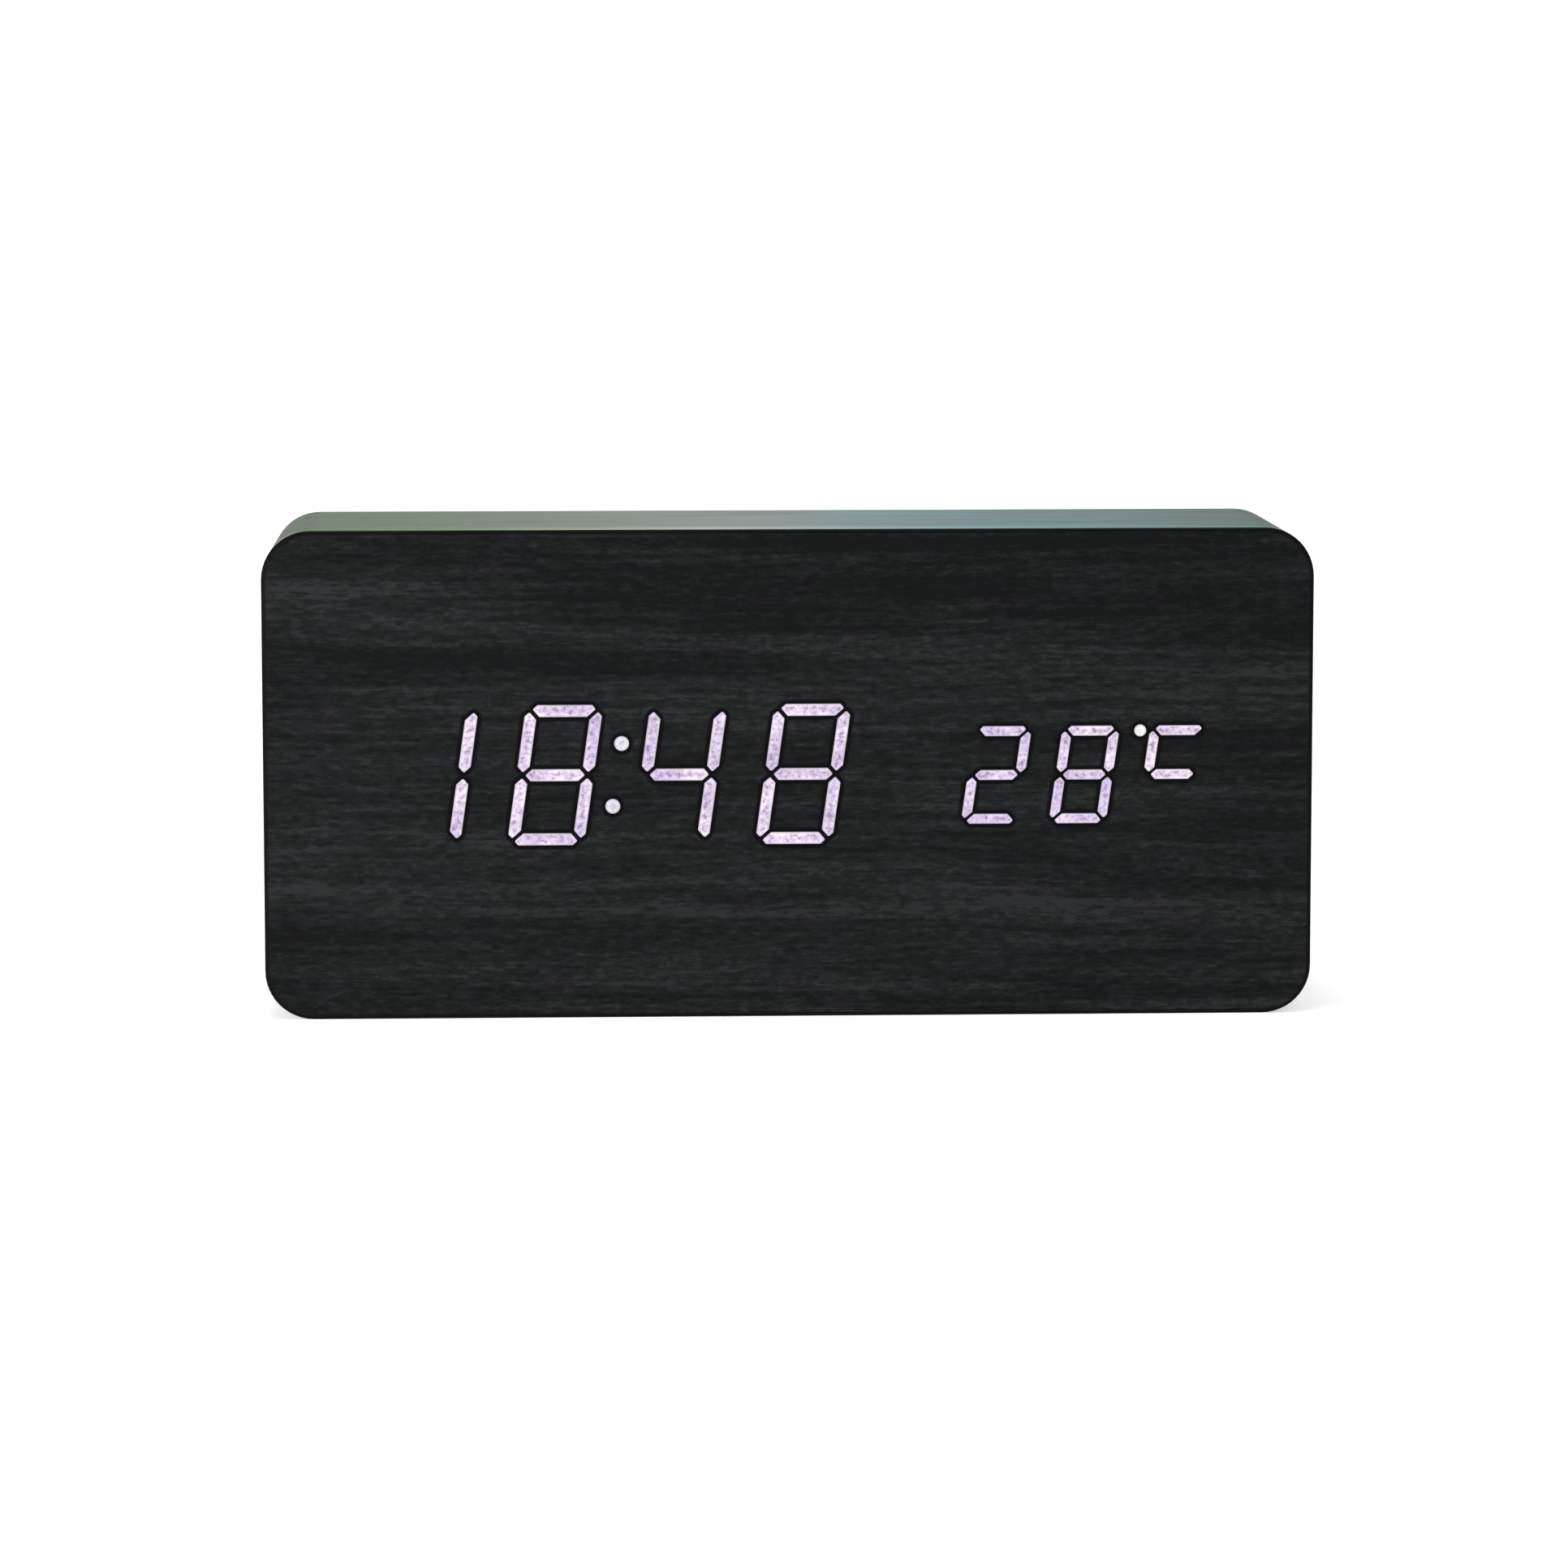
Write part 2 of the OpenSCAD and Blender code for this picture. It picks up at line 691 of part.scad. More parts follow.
// Unbroken tube along a path
module tube(path, d, sides, start) {
  ts = tangents(path);
  us = sides_of(ts, start);
  last = len(path) - 1;
  points = [
    for (i = [0:last], k = [0:sides - 1])
      path[i] + d / 2 * (us[i] * cos(360 * k / sides) + cross(ts[i], us[i]) * sin(360 * k / sides))
  ];
  walls = [
    for (i = [0:last - 1], k = [0:sides - 1], half = [0, 1])
      let (
        a = i * sides + k,
        b = i * sides + (k + 1) % sides
      )
      half == 0 ? [a, a + sides, b] : [b, a + sides, b + sides]
  ];
  caps = [
    for (k = [1:sides - 2], end = [0, 1])
      end == 0 ? [0, k, k + 1] : [last * sides, last * sides + k + 1, last * sides + k]
  ];
  polyhedron(points, concat(walls, caps));
}

// Pan-head screw with its seat at the origin and its head towards +Z
module pan_screw(d, len, head_d, head_h) {
  dome = head_h / 2;
  dome_r = (head_d * head_d / 4 + dome * dome) / (2 * dome);
  translate([0, 0, -len])
    cylinder(d = d, h = len + head_h / 4);
  difference() {
    rotate_extrude()
      intersection() {
        square([head_d / 2, head_h]);
        translate([0, head_h - dome_r])
          circle(dome_r);
      }
    for (turn = [0, 90])
      rotate(turn)
        translate([0, 0, head_h])
          cube([head_d * cross_share, cross_w, head_h], center = true);
  }
}

module at_corners(x, z) {
  for (i = [-1, 1], k = [-1, 1])
    translate([i * x, mid_z + k * z])
      children();
}

module at_display_screws() {
  translate([mask_x, 0])
    at_corners(display_screw_x, display_screw_z)
      children();
}

module time_outlines(lists, g) {
  for (i = [0:3], n = lists[i])
    translate([digit_place(i), mid_z])
      polygon(slanted(segment(n, digit_size, g)));
}

module temp_outlines(lists, g) {
  for (i = [0:2], n = lists[i])
    translate([temp_place(i), temps_z])
      polygon(slanted(segment(n, temp_size, g)));
}

module colon_outlines(g) {
  for (k = [-1, 1])
    translate(colon_place(k))
      circle(d = share * colon_d + 2 * g);
}

module degree_outline(g) {
  translate(degree_place)
    circle(d = share * degree_d + 2 * g);
}

module lit_outlines(g) {
  time_outlines(lit_time, g);
  colon_outlines(g);
  temp_outlines(lit_temp, g);
  degree_outline(g);
}

module mask_outline(g) {
  translate([mask_x, mid_z])
    square([mask_w + 2 * g, mask_h + 2 * g], center = true);
}

module board_outline() {
  translate([mask_x, mid_z])
    square([mask_w + 2 * flange_lap, mask_h + 2 * flange_lap], center = true);
}

module case_shell() {
  color("#1f2121")
    difference() {
      union() {
        difference() {
          translate([0, y_film, mid_z])
            rotate([-90, 0, 0])
              round_slab(case_w, case_h, corner_r, case_d - film_t, rim_round);
          span(y_wall, y_rear + cut)
            translate([0, mid_z])
              rounded_rect(cavity_w, cavity_h, cavity_r);
        }
        span(y_cover_in - block_len, y_cover_in)
          at_corners(screw_x + wall_t / 4, screw_z + wall_t / 4)
            square(block_w + wall_t / 2, center = true);
      }
      span(y_film - cut, y_wall + cut)
        mask_outline(drop_fit);
      span(y_cover_in - cover_bite - cut, y_cover_in + cut)
        at_corners(screw_x, screw_z)
          circle(d = cover_screw_d + 2 * press_fit);
      span(y_wall - board_bite - 2 * press_fit, y_wall + cut)
        at_display_screws()
          circle(d = board_screw_d + 2 * press_fit);
    }
}

module front_film() {
  color("#212323")
    difference() {
      translate([0, y_film, mid_z])
        rotate([90, 0, 0])
          round_slab(case_w, case_h, corner_r, film_t, film_round);
      span(y_front - cut, y_film + cut)
        lit_outlines(press_fit);
    }
}

module segment_mask() {
  color("#141414")
    difference() {
      union() {
        span(y_film, y_flange)
          mask_outline(0);
        span(y_wall, y_flange)
          board_outline();
      }
      span(y_film - cut, y_flange + cut) {
        lit_outlines(press_fit);
        time_outlines(dark_time, press_fit);
        temp_outlines(dark_temp, press_fit);
      }
      span(y_wall - cut, y_flange + cut)
        at_display_screws()
          circle(d = board_screw_d + 2 * drop_fit);
    }
}

module time_segments() {
  color("#dcd0e4")
    span(y_front + lens_sunk, y_guide)
      time_outlines(lit_time, 0);
}

module colon_dots() {
  color("#e4e2ea")
    span(y_front + lens_sunk, y_guide)
      colon_outlines(0);
}

module temperature_segments() {
  color("#dcd0e4")
    span(y_front + lens_sunk, y_guide)
      temp_outlines(lit_temp, 0);
}

module degree_dot() {
  color("#e4e2ea")
    span(y_front + lens_sunk, y_guide)
      degree_outline(0);
}

module dark_segments() {
  color("#b8b8b8")
    span(y_film, y_guide) {
      time_outlines(dark_time, 0);
      temp_outlines(dark_temp, 0);
    }
}

module display_board() {
  color("#1c4a2c")
    span(y_flange, y_board)
      difference() {
        board_outline();
        at_display_screws()
          circle(d = board_screw_d + 2 * drop_fit);
      }
}

module segment_leds() {
  color("#f2e6b0")
    span(y_flange - led_h, y_flange) {
      for (i = [0:3], n = [0:6])
        translate([digit_place(i), mid_z])
          translate(slanted([segment_middle(n, digit_size)])[0])
            square([led_w, led_d], center = true);
      for (i = [0:2], n = [0:6])
        translate([temp_place(i), temps_z])
          translate(slanted([segment_middle(n, temp_size)])[0])
            square([led_w, led_d], center = true);
      for (k = [-1, 1])
        translate(colon_place(k))
          square([led_w, led_d], center = true);
      translate(degree_place)
        square([led_w, led_d], center = true);
    }
}

module display_screws() {
  color("silver")
    for (i = [-1, 1], k = [-1, 1])
      translate([mask_x + i * display_screw_x, y_board, mid_z + k * display_screw_z])
        rotate([-90, 0, 0])
          pan_screw(board_screw_d, board_t + flange_t + board_bite, board_head_d, board_head_h);
}

// Chip on the display board, with legs on its two long sides, or on all four
module chip(x, z, w, h, all_round) {
  span(y_board + leg_t / 2, y_board + chip_h)
    translate([x, z])
      square([w, h], center = true);
  legs = floor((w - leg_w) / leg_pitch);
  span(y_board, y_board + leg_t)
    translate([x, z])
      for (turn = all_round ? [0, 90] : [0], i = [0:legs])
        rotate(turn)
          translate([(i - legs / 2) * leg_pitch, 0])
            square([leg_w, h + 2 * leg_reach], center = true);
}

module controller_chip() {
  color("#26282a")
    chip(controller_x, mid_z, controller_w, controller_w, true);
}

module driver_chips() {
  color("#26282a")
    for (k = [-1, 1])
      chip(driver_x, mid_z + k * driver_rise, driver_len, driver_w, false);
}

module board_resistors() {
  color("#30302e")
    span(y_board, y_board + resistor_w)
      for (i = [0:resistor_count - 1])
        translate([controller_x + (i - (resistor_count - 1) / 2) * resistor_pitch, mid_z + resistor_rise])
          square([resistor_w, resistor_len], center = true);
}

module timing_crystal() {
  color("#c8c8cc")
    translate([controller_x, y_board + crystal_d / 2 + press_fit, mid_z - crystal_drop])
      rotate([0, 90, 0])
        cylinder(d = crystal_d, h = crystal_len, center = true);
}

module backup_holder() {
  color("#1a1a1c")
    difference() {
      span(y_board, y_board + holder_floor + backup_h)
        translate([backup_x, mid_z])
          circle(d = backup_d + 2 * drop_fit + 2 * holder_wall);
      span(y_board + holder_floor, y_board + holder_floor + backup_h + cut)
        translate([backup_x, mid_z])
          circle(d = backup_d + 2 * drop_fit);
    }
}

module backup_cell() {
  color("#c4c6c8")
    span(y_board + holder_floor, y_board + holder_floor + backup_h)
      translate([backup_x, mid_z])
        circle(d = backup_d);
}

// Strap over the coin cell, with a leg down to the board on each side of the holder
module backup_clip() {
  top = y_board + holder_floor + backup_h;
  reach = backup_d / 2 + 2 * drop_fit + holder_wall;
  color("#b8b6ae")
    rise(mid_z - clip_w / 2, mid_z + clip_w / 2) {
      translate([backup_x - reach - clip_t, top])
        square([2 * (reach + clip_t), clip_t]);
      for (k = [-1, 1])
        translate([backup_x + k * (reach + clip_t / 2), (y_board + top + clip_t) / 2])
          square([clip_t, top + clip_t - y_board], center = true);
    }
}

module connector_outline(x) {
  translate([x, mid_z])
    square([connector_w, connector_len], center = true);
}

// Slot for the ribbon cable in a connector's face
module ribbon_slot(x) {
  translate([x, mid_z])
    square([ribbon_t + 2 * press_fit, ribbon_w + 2 * press_fit], center = true);
}

module display_connector() {
  color("ivory")
    difference() {
      span(y_board, y_board + connector_h)
        connector_outline(connector_x);
      span(y_board + connector_h / 2, y_board + connector_h + cut)
        ribbon_slot(connector_x);
    }
}

module control_connector() {
  color("ivory")
    difference() {
      span(y_control_front - connector_h, y_control_front)
        connector_outline(connector_x + ribbon_step);
      span(y_control_front - connector_h - cut, y_control_front - connector_h / 2)
        ribbon_slot(connector_x + ribbon_step);
    }
}

// Quarter of the ribbon's bend, in the corner between -X and -Y of its middle
module ribbon_bend() {
  difference() {
    circle(ribbon_r + ribbon_t / 2);
    circle(ribbon_r - ribbon_t / 2);
    translate([0, -2 * ribbon_r])
      square(4 * ribbon_r);
    translate([-4 * ribbon_r, 0])
      square(4 * ribbon_r);
  }
}

// S-shaped flat cable between the two connectors
module ribbon_cable() {
  reach = ribbon_lead + connector_h / 2 - press_fit;
  y_mid = y_board + connector_h + ribbon_gap / 2;
  x_far = connector_x + ribbon_step;
  color("#9a9a9c")
    rise(mid_z - ribbon_w / 2, mid_z + ribbon_w / 2) {
      translate([connector_x - ribbon_t / 2, y_mid - ribbon_r - reach])
        square([ribbon_t, reach]);
      translate([connector_x + ribbon_r, y_mid - ribbon_r])
        mirror([0, 1])
          ribbon_bend();
      translate([connector_x + ribbon_r, y_mid - ribbon_t / 2])
        square([ribbon_step - 2 * ribbon_r, ribbon_t]);
      translate([x_far - ribbon_r, y_mid + ribbon_r])
        mirror([1, 0])
          ribbon_bend();
      translate([x_far - ribbon_t / 2, y_mid + ribbon_r])
        square([ribbon_t, reach]);
    }
}

module control_board() {
  color("#1c4a2c")
    span(y_control_front, y_control)
      difference() {
        translate([control_x, mid_z])
          square([control_w, control_h], center = true);
        for (p = posts)
          translate(p)
            circle(d = board_screw_d + 2 * drop_fit);
      }
}

module control_board_screws() {
  color("silver")
    for (p = posts)
      translate([p.x, y_control_front, p.y])
        rotate([90, 0, 0])
          pan_screw(board_screw_d, board_t + board_bite, board_head_d, board_head_h);
}

module at_buttons() {
  for (i = [0:2])
    translate([controls_x, button_z(i)])
      children();
}

module switch_bases() {
  color("#222224")
    difference() {
      span(y_control, y_base)
        at_buttons()
          square(switch_w, center = true);
      span(y_control + switch_floor, y_base + cut)
        at_buttons()
          circle(d = plunger_d + 2 * plunger_gap);
    }
}

module switch_lids() {
  color("#c0c2c4")
    span(y_base, y_lid)
      at_buttons()
        difference() {
          square(switch_w, center = true);
          circle(d = plunger_d + 2 * plunger_gap);
        }
}

module plunger(i) {
  span(y_control + switch_floor + button_travel + collar_air, y_collar)
    translate([controls_x, button_z(i)])
      circle(d = plunger_d);
}

module set_plunger() {
  color("#3a3a3c")
    plunger(0);
}

module up_plunger() {
  color("#3a3a3c")
    plunger(1);
}

module down_plunger() {
  color("#3a3a3c")
    plunger(2);
}

// Button with its mark, an outline in X and Z, sunk into its face
module button(i) {
  stem = cover_t + collar_air + button_proud + collar_t;
  difference() {
    translate([controls_x, y_collar, button_z(i)])
      rotate([-90, 0, 0])
        rotate_extrude() {
          square([collar_d / 2, collar_t]);
          edge_profile(button_d / 2, stem, button_round);
        }
    span(y_cover_out + button_proud - mark_depth, y_cover_out + button_proud + cut)
      translate([controls_x, button_z(i)])
        children();
  }
}

module set_button() {
  color("#2a2b2d")
    button(0)
      circle(mark_r / 2);
}

module up_button() {
  color("#2a2b2d")
    button(1)
      rotate(90)
        circle(mark_r, $fn = 3);
}

module down_button() {
  color("#2a2b2d")
    button(2)
      rotate(-90)
        circle(mark_r, $fn = 3);
}

module buzzer() {
  color("#18181a")
    difference() {
      span(y_control, y_control + buzzer_h)
        translate([sensors_x, mid_z + buzzer_rise])
          circle(d = buzzer_d);
      span(y_control + buzzer_h / 2, y_control + buzzer_h + cut)
        translate([sensors_x, mid_z + buzzer_rise])
          circle(d = sound_d * 2);
    }
}

module microphone() {
  color("#b0b2b4")
    difference() {
      span(y_control, y_control + microphone_h)
        translate([sensors_x, mid_z - microphone_drop])
          circle(d = microphone_d);
      span(y_control + microphone_h / 2, y_control + microphone_h + cut)
        translate([sensors_x, mid_z - microphone_drop])
          circle(d = sound_d);
    }
}

module temperature_sensor() {
  color("#2c4a7a") {
    translate([sensors_x, y_control + bead_rise, mid_z - sensor_drop])
      sphere(d = bead_d);
    span(y_control, y_control + bead_rise)
      for (k = [-1, 1])
        translate([sensors_x + k * bead_wire_pitch / 2, mid_z - sensor_drop])
          circle(d = bead_wire_d);
  }
}

// Outline of the socket's shell, grown outward by g
module socket_outline(g) {
  side = socket_w / 2 + g;
  end = socket_h / 2 + g;
  lean = g * (root2 - 1);
  translate([controls_x, mid_z - socket_drop])
    polygon([
      [-side, end],
      [side, end],
      [side, socket_cut - socket_h / 2 - lean],
      [socket_w / 2 - socket_cut + lean, -end],
      [socket_cut - socket_w / 2 - lean, -end],
      [-side, socket_cut - socket_h / 2 - lean]
    ]);
}

module usb_shell() {
  color("#c8cacc")
    span(y_control, y_cover_out - mouth_sunk)
      difference() {
        socket_outline(0);
        socket_outline(-shell_t);
      }
}

module usb_tongue() {
  color("#101012") {
    span(y_control, y_control + insulator_h)
      socket_outline(-shell_t - press_fit);
    span(y_control, y_cover_out - mouth_sunk - tongue_sunk)
      translate([controls_x, mid_z - socket_drop])
        square([tongue_w, tongue_t], center = true);
  }
}

module bay_outline(g) {
  translate([bay_mid, mid_z])
    square([bay_len + 2 * g, bay_h + 2 * g], center = true);
}

// Places what meets one end of cell i, its tip or its coil, with X as the depth from the bay's end wall
module at_end(i, tip) {
  left = tip == (i % 2 == 0);
  translate([bay_mid, 0, cell_z(i)])
    mirror([left ? 0 : 1, 0, 0])
      translate([-bay_len / 2, 0, 0])
        children();
}

// Places what belongs to the first and the last plate of the row of cells
module at_tails() {
  at_end(0, true)
    children(0);
  at_end(cell_count - 1, false)
    children($children - 1);
}

// Block behind each contact plate that meets a cell's tip
module tip_blocks() {
  for (i = [0:cell_count - 1])
    at_end(i, true)
      translate([-bay_wall / 2, y_bay - bay_wall / 2, -plate_w / 2])
        cube([tip_depth + bay_wall / 2, plate_h + bay_wall / 2, plate_w]);
}

module tail(reach_in, g) {
  translate([-bay_wall - tail_reach, tail_y - plate_t / 2 - g, -tail_w / 2 - g])
    cube([bay_wall + tail_reach + reach_in, plate_t + 2 * g, tail_w + 2 * g]);
}

module sound_holes() {
  for (ring = [0:sound_rings])
    for (k = [0:max(0, 6 * ring - 1)])
      translate([sensors_x, mid_z + buzzer_rise])
        rotate(ring == 0 ? 0 : 60 / ring * k)
          translate([ring * sound_pitch, 0])
            circle(d = sound_d);
}

module air_slots() {
  for (k = [0:slot_count - 1])
    translate([sensors_x, mid_z - sensor_drop + (k - (slot_count - 1) / 2) * slot_pitch])
      square([slot_len, slot_w], center = true);
}

module rear_cover() {
  color("#1b1c1d")
    difference() {
      union() {
        difference() {
          union() {
            span(y_cover_in, y_cover_out)
              translate([0, mid_z])
                rounded_rect(cavity_w - 2 * cover_gap, cavity_h - 2 * cover_gap, cavity_r - cover_gap);
            span(y_bay - bay_wall, y_cover_in + cover_t / 4)
              bay_outline(bay_wall);
            span(y_control, y_cover_in + cover_t / 4)
              for (p = posts)
                translate(p)
                  circle(d = post_d);
          }
          span(y_bay, y_cover_out - lip_t)
            bay_outline(0);
          span(y_ledge, y_cover_out + cut)
            translate([lip_x, mid_z - door_h / 2 - door_gap])
              square([door_x1 + door_gap - lip_x, door_h + 2 * door_gap]);
          translate([bay_x1 - cut, y_barb - latch_gap, mid_z - latch_w / 2 - latch_gap])
            cube([cut + barb_len + latch_gap / 2, y_cover_in - y_barb + latch_gap, latch_w + 2 * latch_gap]);
          rise(mid_z - latch_w / 2, mid_z + latch_w / 2)
            translate([door_x1 + door_gap + thumb_r / 3, y_cover_out + thumb_r - thumb_depth])
              circle(thumb_r);
          span(y_cover_in - cut, y_cover_out + cut)
            at_corners(screw_x, screw_z)
              circle(d = cover_screw_d + 2 * drop_fit);
          span(y_cover_out - head_sunk, y_cover_out + cut)
            at_corners(screw_x, screw_z)
              circle(d = cover_head_d + 2 * drop_fit);
          span(y_control - cut, y_control + board_bite + 2 * press_fit)
            for (p = posts)
              translate(p)
                circle(d = board_screw_d + 2 * press_fit);
          span(y_cover_in - cut, y_cover_out + cut) {
            at_buttons()
              circle(d = button_d + 2 * button_gap);
            socket_outline(drop_fit);
            sound_holes();
            translate([sensors_x, mid_z - microphone_drop])
              circle(d = sound_d);
            air_slots();
          }
        }
        tip_blocks();
      }
      at_tails()
        tail(contact_room, press_fit);
    }
}

module cover_screws() {
  color("#3c3d3f")
    for (i = [-1, 1], k = [-1, 1])
      translate([i * screw_x, y_cover_out - head_sunk, mid_z + k * screw_z])
        rotate([-90, 0, 0])
          pan_screw(cover_screw_d, cover_t - head_sunk + cover_bite, cover_head_d, cover_head_h);
}

module battery_cells() {
  color("#b9bcc0")
    for (i = [0:cell_count - 1])
      at_end(i, false)
        translate([contact_room, y_cell, 0])
          rotate([0, 90, 0]) {
            cylinder(d = cell_d, h = cell_len - tip_len);
            cylinder(d = tip_d, h = cell_len);
          }
}

// Strip from the plate at a cell's tip to the coil's plate of the cell below it
module bridge() {
  wing_z = -plate_w / 2 - press_fit - plate_t;
  foot_z = plate_w / 2 - cell_pitch - plate_t;
  translate([press_fit, y_bay + press_fit, wing_z])
    cube([tip_depth + plate_t - press_fit, bridge_h, plate_t]);
  translate([press_fit, y_bay + press_fit, foot_z])
    cube([plate_t, bridge_h, wing_z + plate_t - foot_z]);
  translate([tip_depth, y_bay + press_fit, wing_z])
    cube([plate_t, bridge_h, 2 * plate_t + press_fit]);
}

module contact_plates() {
  color("#c9c4b4") {
    for (i = [0:cell_count - 1], tip = [true, false])
      at_end(i, tip)
        translate([tip ? tip_depth : press_fit, y_bay + press_fit, -plate_w / 2])
          cube([plate_t, plate_h - press_fit, plate_w]);
    for (i = [1:cell_count - 1])
      at_end(i, true)
        bridge();
    at_tails() {
      tail(tip_depth + plate_t, 0);
      tail(press_fit + plate_t, 0);
    }
  }
}

module spring_coils() {
  color("#d8d8d8")
    for (i = [0:cell_count - 1])
      at_end(i, false)
        translate([plate_t + 2 * press_fit, y_cell, 0])
          tube(coil, wire_d, 6, [1, 0, 0]);
}

module red_lead() {
  color("#a82020")
    tube(rounded(red_route, bend_r), lead_d, 8, [0, 0, 1]);
}

module black_lead() {
  color("#161616")
    tube(rounded(black_route, bend_r), lead_d, 8, [0, 1, 0]);
}

module battery_door() {
  color("#1b1c1d")
    difference() {
      union() {
        rise(mid_z - door_h / 2, mid_z + door_h / 2) {
          translate([hinge_x, y_door])
            square([door_x1 - hinge_x, door_t]);
          translate([hinge_x, hinge_y])
            circle(d = door_t);
        }
        for (k = [-1, 1])
          translate([hinge_x - hook_len, y_hook - hook_t, mid_z + k * hook_rise - hook_w / 2])
            cube([hook_len + hook_root, hook_t, hook_w]);
        for (k = [1:ridge_count])
          translate([latch_x - latch_len - k * ridge_pitch, y_cover_out - ridge_h, mid_z - ridge_len / 2])
            cube([ridge_w, 2 * ridge_h, ridge_len]);
      }
      translate([latch_x - latch_t - latch_gap, y_door - cut, mid_z - latch_w / 2 - latch_gap])
        cube([door_lap + latch_t + 2 * latch_gap + cut, door_t + 2 * cut, latch_w + 2 * latch_gap]);
    }
}

// Sprung bend under the door's free edge, with a thumb tab outside and a barb under the cover
module door_latch() {
  color("#202122")
    rise(mid_z - latch_w / 2, mid_z + latch_w / 2) {
      translate([latch_x - latch_len, y_latch])
        square([latch_t, latch_drop]);
      translate([latch_x - latch_len, y_latch])
        square([latch_len, latch_t]);
      translate([latch_x - latch_t, y_latch])
        square([latch_t, y_cover_out - y_latch]);
      translate([latch_x - latch_t, y_door + latch_gap])
        square([door_lap + latch_t, y_cover_out - y_door - latch_gap]);
      translate([latch_x - latch_t, y_barb])
        square([latch_t + barb_len, barb_h]);
    }
}

case_shell();
front_film();
segment_mask();
time_segments();
colon_dots();
temperature_segments();
degree_dot();
dark_segments();
display_board();
segment_leds();
display_screws();
controller_chip();
driver_chips();
board_resistors();
timing_crystal();
backup_holder();
backup_cell();
backup_clip();
display_connector();
ribbon_cable();
control_connector();
control_board();
control_board_screws();
switch_bases();
switch_lids();
buzzer();
microphone();
temperature_sensor();
usb_shell();
usb_tongue();
rear_cover();
cover_screws();
battery_cells();
contact_plates();
spring_coils();
red_lead();
black_lead();
battery_door();
door_latch();
set_button();
set_plunger();
up_button();
up_plunger();
down_button();
down_plunger();
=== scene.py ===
import math

import bmesh
import bpy
from mathutils import Matrix, Vector


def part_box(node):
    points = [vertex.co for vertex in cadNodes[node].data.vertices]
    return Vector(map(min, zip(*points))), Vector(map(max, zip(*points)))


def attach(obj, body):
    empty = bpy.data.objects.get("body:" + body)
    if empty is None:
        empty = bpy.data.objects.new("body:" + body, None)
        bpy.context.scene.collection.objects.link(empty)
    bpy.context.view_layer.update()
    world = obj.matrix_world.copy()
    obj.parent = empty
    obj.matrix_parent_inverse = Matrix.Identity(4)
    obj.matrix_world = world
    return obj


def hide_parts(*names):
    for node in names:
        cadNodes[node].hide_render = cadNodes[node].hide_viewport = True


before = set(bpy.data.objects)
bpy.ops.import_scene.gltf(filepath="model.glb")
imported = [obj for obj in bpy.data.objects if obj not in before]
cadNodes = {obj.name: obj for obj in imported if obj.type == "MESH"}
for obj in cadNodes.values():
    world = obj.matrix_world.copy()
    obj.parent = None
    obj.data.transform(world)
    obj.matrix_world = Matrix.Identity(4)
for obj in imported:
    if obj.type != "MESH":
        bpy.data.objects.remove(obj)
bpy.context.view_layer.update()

scene = bpy.context.scene
mm = 0.001
print("frame loaded: %d nodes" % len(cadNodes))


def tone(red, green, blue):  # a colour as seen, 0 to 255, to Blender's linear one
    def linear(v):
        return v / 12.92 if v <= 0.04045 else ((v + 0.055) / 1.055) ** 2.4
    return (linear(red / 255), linear(green / 255), linear(blue / 255), 1)


def grey(level):
    return (level, level, level, 1)


def newObject(name, data):
    thing = bpy.data.objects.new(name, data)
    scene.collection.objects.link(thing)
    return thing


# node tree helpers: a value is a number, a colour or another node's output
def plug(tree, socket, value):
    if isinstance(value, bpy.types.NodeSocket):
        tree.links.new(value, socket)
    else:
        socket.default_value = value


def put(tree, kind, inputs=None, **settings):
    node = tree.nodes.new(kind)
    for key, value in settings.items():
        setattr(node, key, value)
    for key, value in (inputs or {}).items():
        plug(tree, node.inputs[key], value)
    return node


def feed(tree, sockets, **values):
    for label, value in values.items():
        plug(tree, sockets[label.replace("_", " ")], value)


def calc(tree, operation, *values):
    return put(tree, "ShaderNodeMath", dict(enumerate(values)), operation=operation).outputs[0]


def times(tree, first, *others):
    for value in others:
        first = calc(tree, "MULTIPLY", first, value)
    return first


def mixture(tree, *parts):  # sum of values, each times its share
    total = times(tree, *parts[0])
    for value, share in parts[1:]:
        total = calc(tree, "MULTIPLY_ADD", value, share, total)
    return total


def vecCalc(tree, operation, *values):
    return put(tree, "ShaderNodeVectorMath", dict(enumerate(values)), operation=operation)


def triple(tree, x=0.0, y=0.0, z=0.0):
    return put(tree, "ShaderNodeCombineXYZ", {0: x, 1: y, 2: z}).outputs[0]


def noise(tree, place, scale, detail=2.0, rough=0.5):
    if isinstance(scale, float):
        scale = (scale, scale, scale)
    scaled = vecCalc(tree, "MULTIPLY", place, scale).outputs[0]
    return put(tree, "ShaderNodeTexNoise", {"Vector": scaled, "Scale": 1.0, "Detail": detail,
                                            "Roughness": rough}).outputs[0]


def remap(tree, value, low, high, start=0.0, end=1.0, easing="LINEAR"):
    return put(tree, "ShaderNodeMapRange", {"Value": value, "From Min": low, "From Max": high,
                                            "To Min": start, "To Max": end},
               interpolation_type=easing).outputs[0]


def spread(tree, value, start=0.0, end=1.0):  # nearly all of a noise lies between 0.3 and 0.7
    return remap(tree, value, 0.3, 0.7, start, end)


def mixColour(tree, share, first, second, blend="MIX"):
    return put(tree, "ShaderNodeMix", {0: share, 6: first, 7: second}, data_type="RGBA",
               blend_type=blend).outputs[2]


def ramp(tree, value, stops):
    node = put(tree, "ShaderNodeValToRGB", {"Fac": value})
    points = node.color_ramp.elements
    while len(points) < len(stops):
        points.new(0.5)
    for point, (spot, colour) in zip(points, stops):
        point.position, point.color = spot, colour
    return node.outputs["Color"]


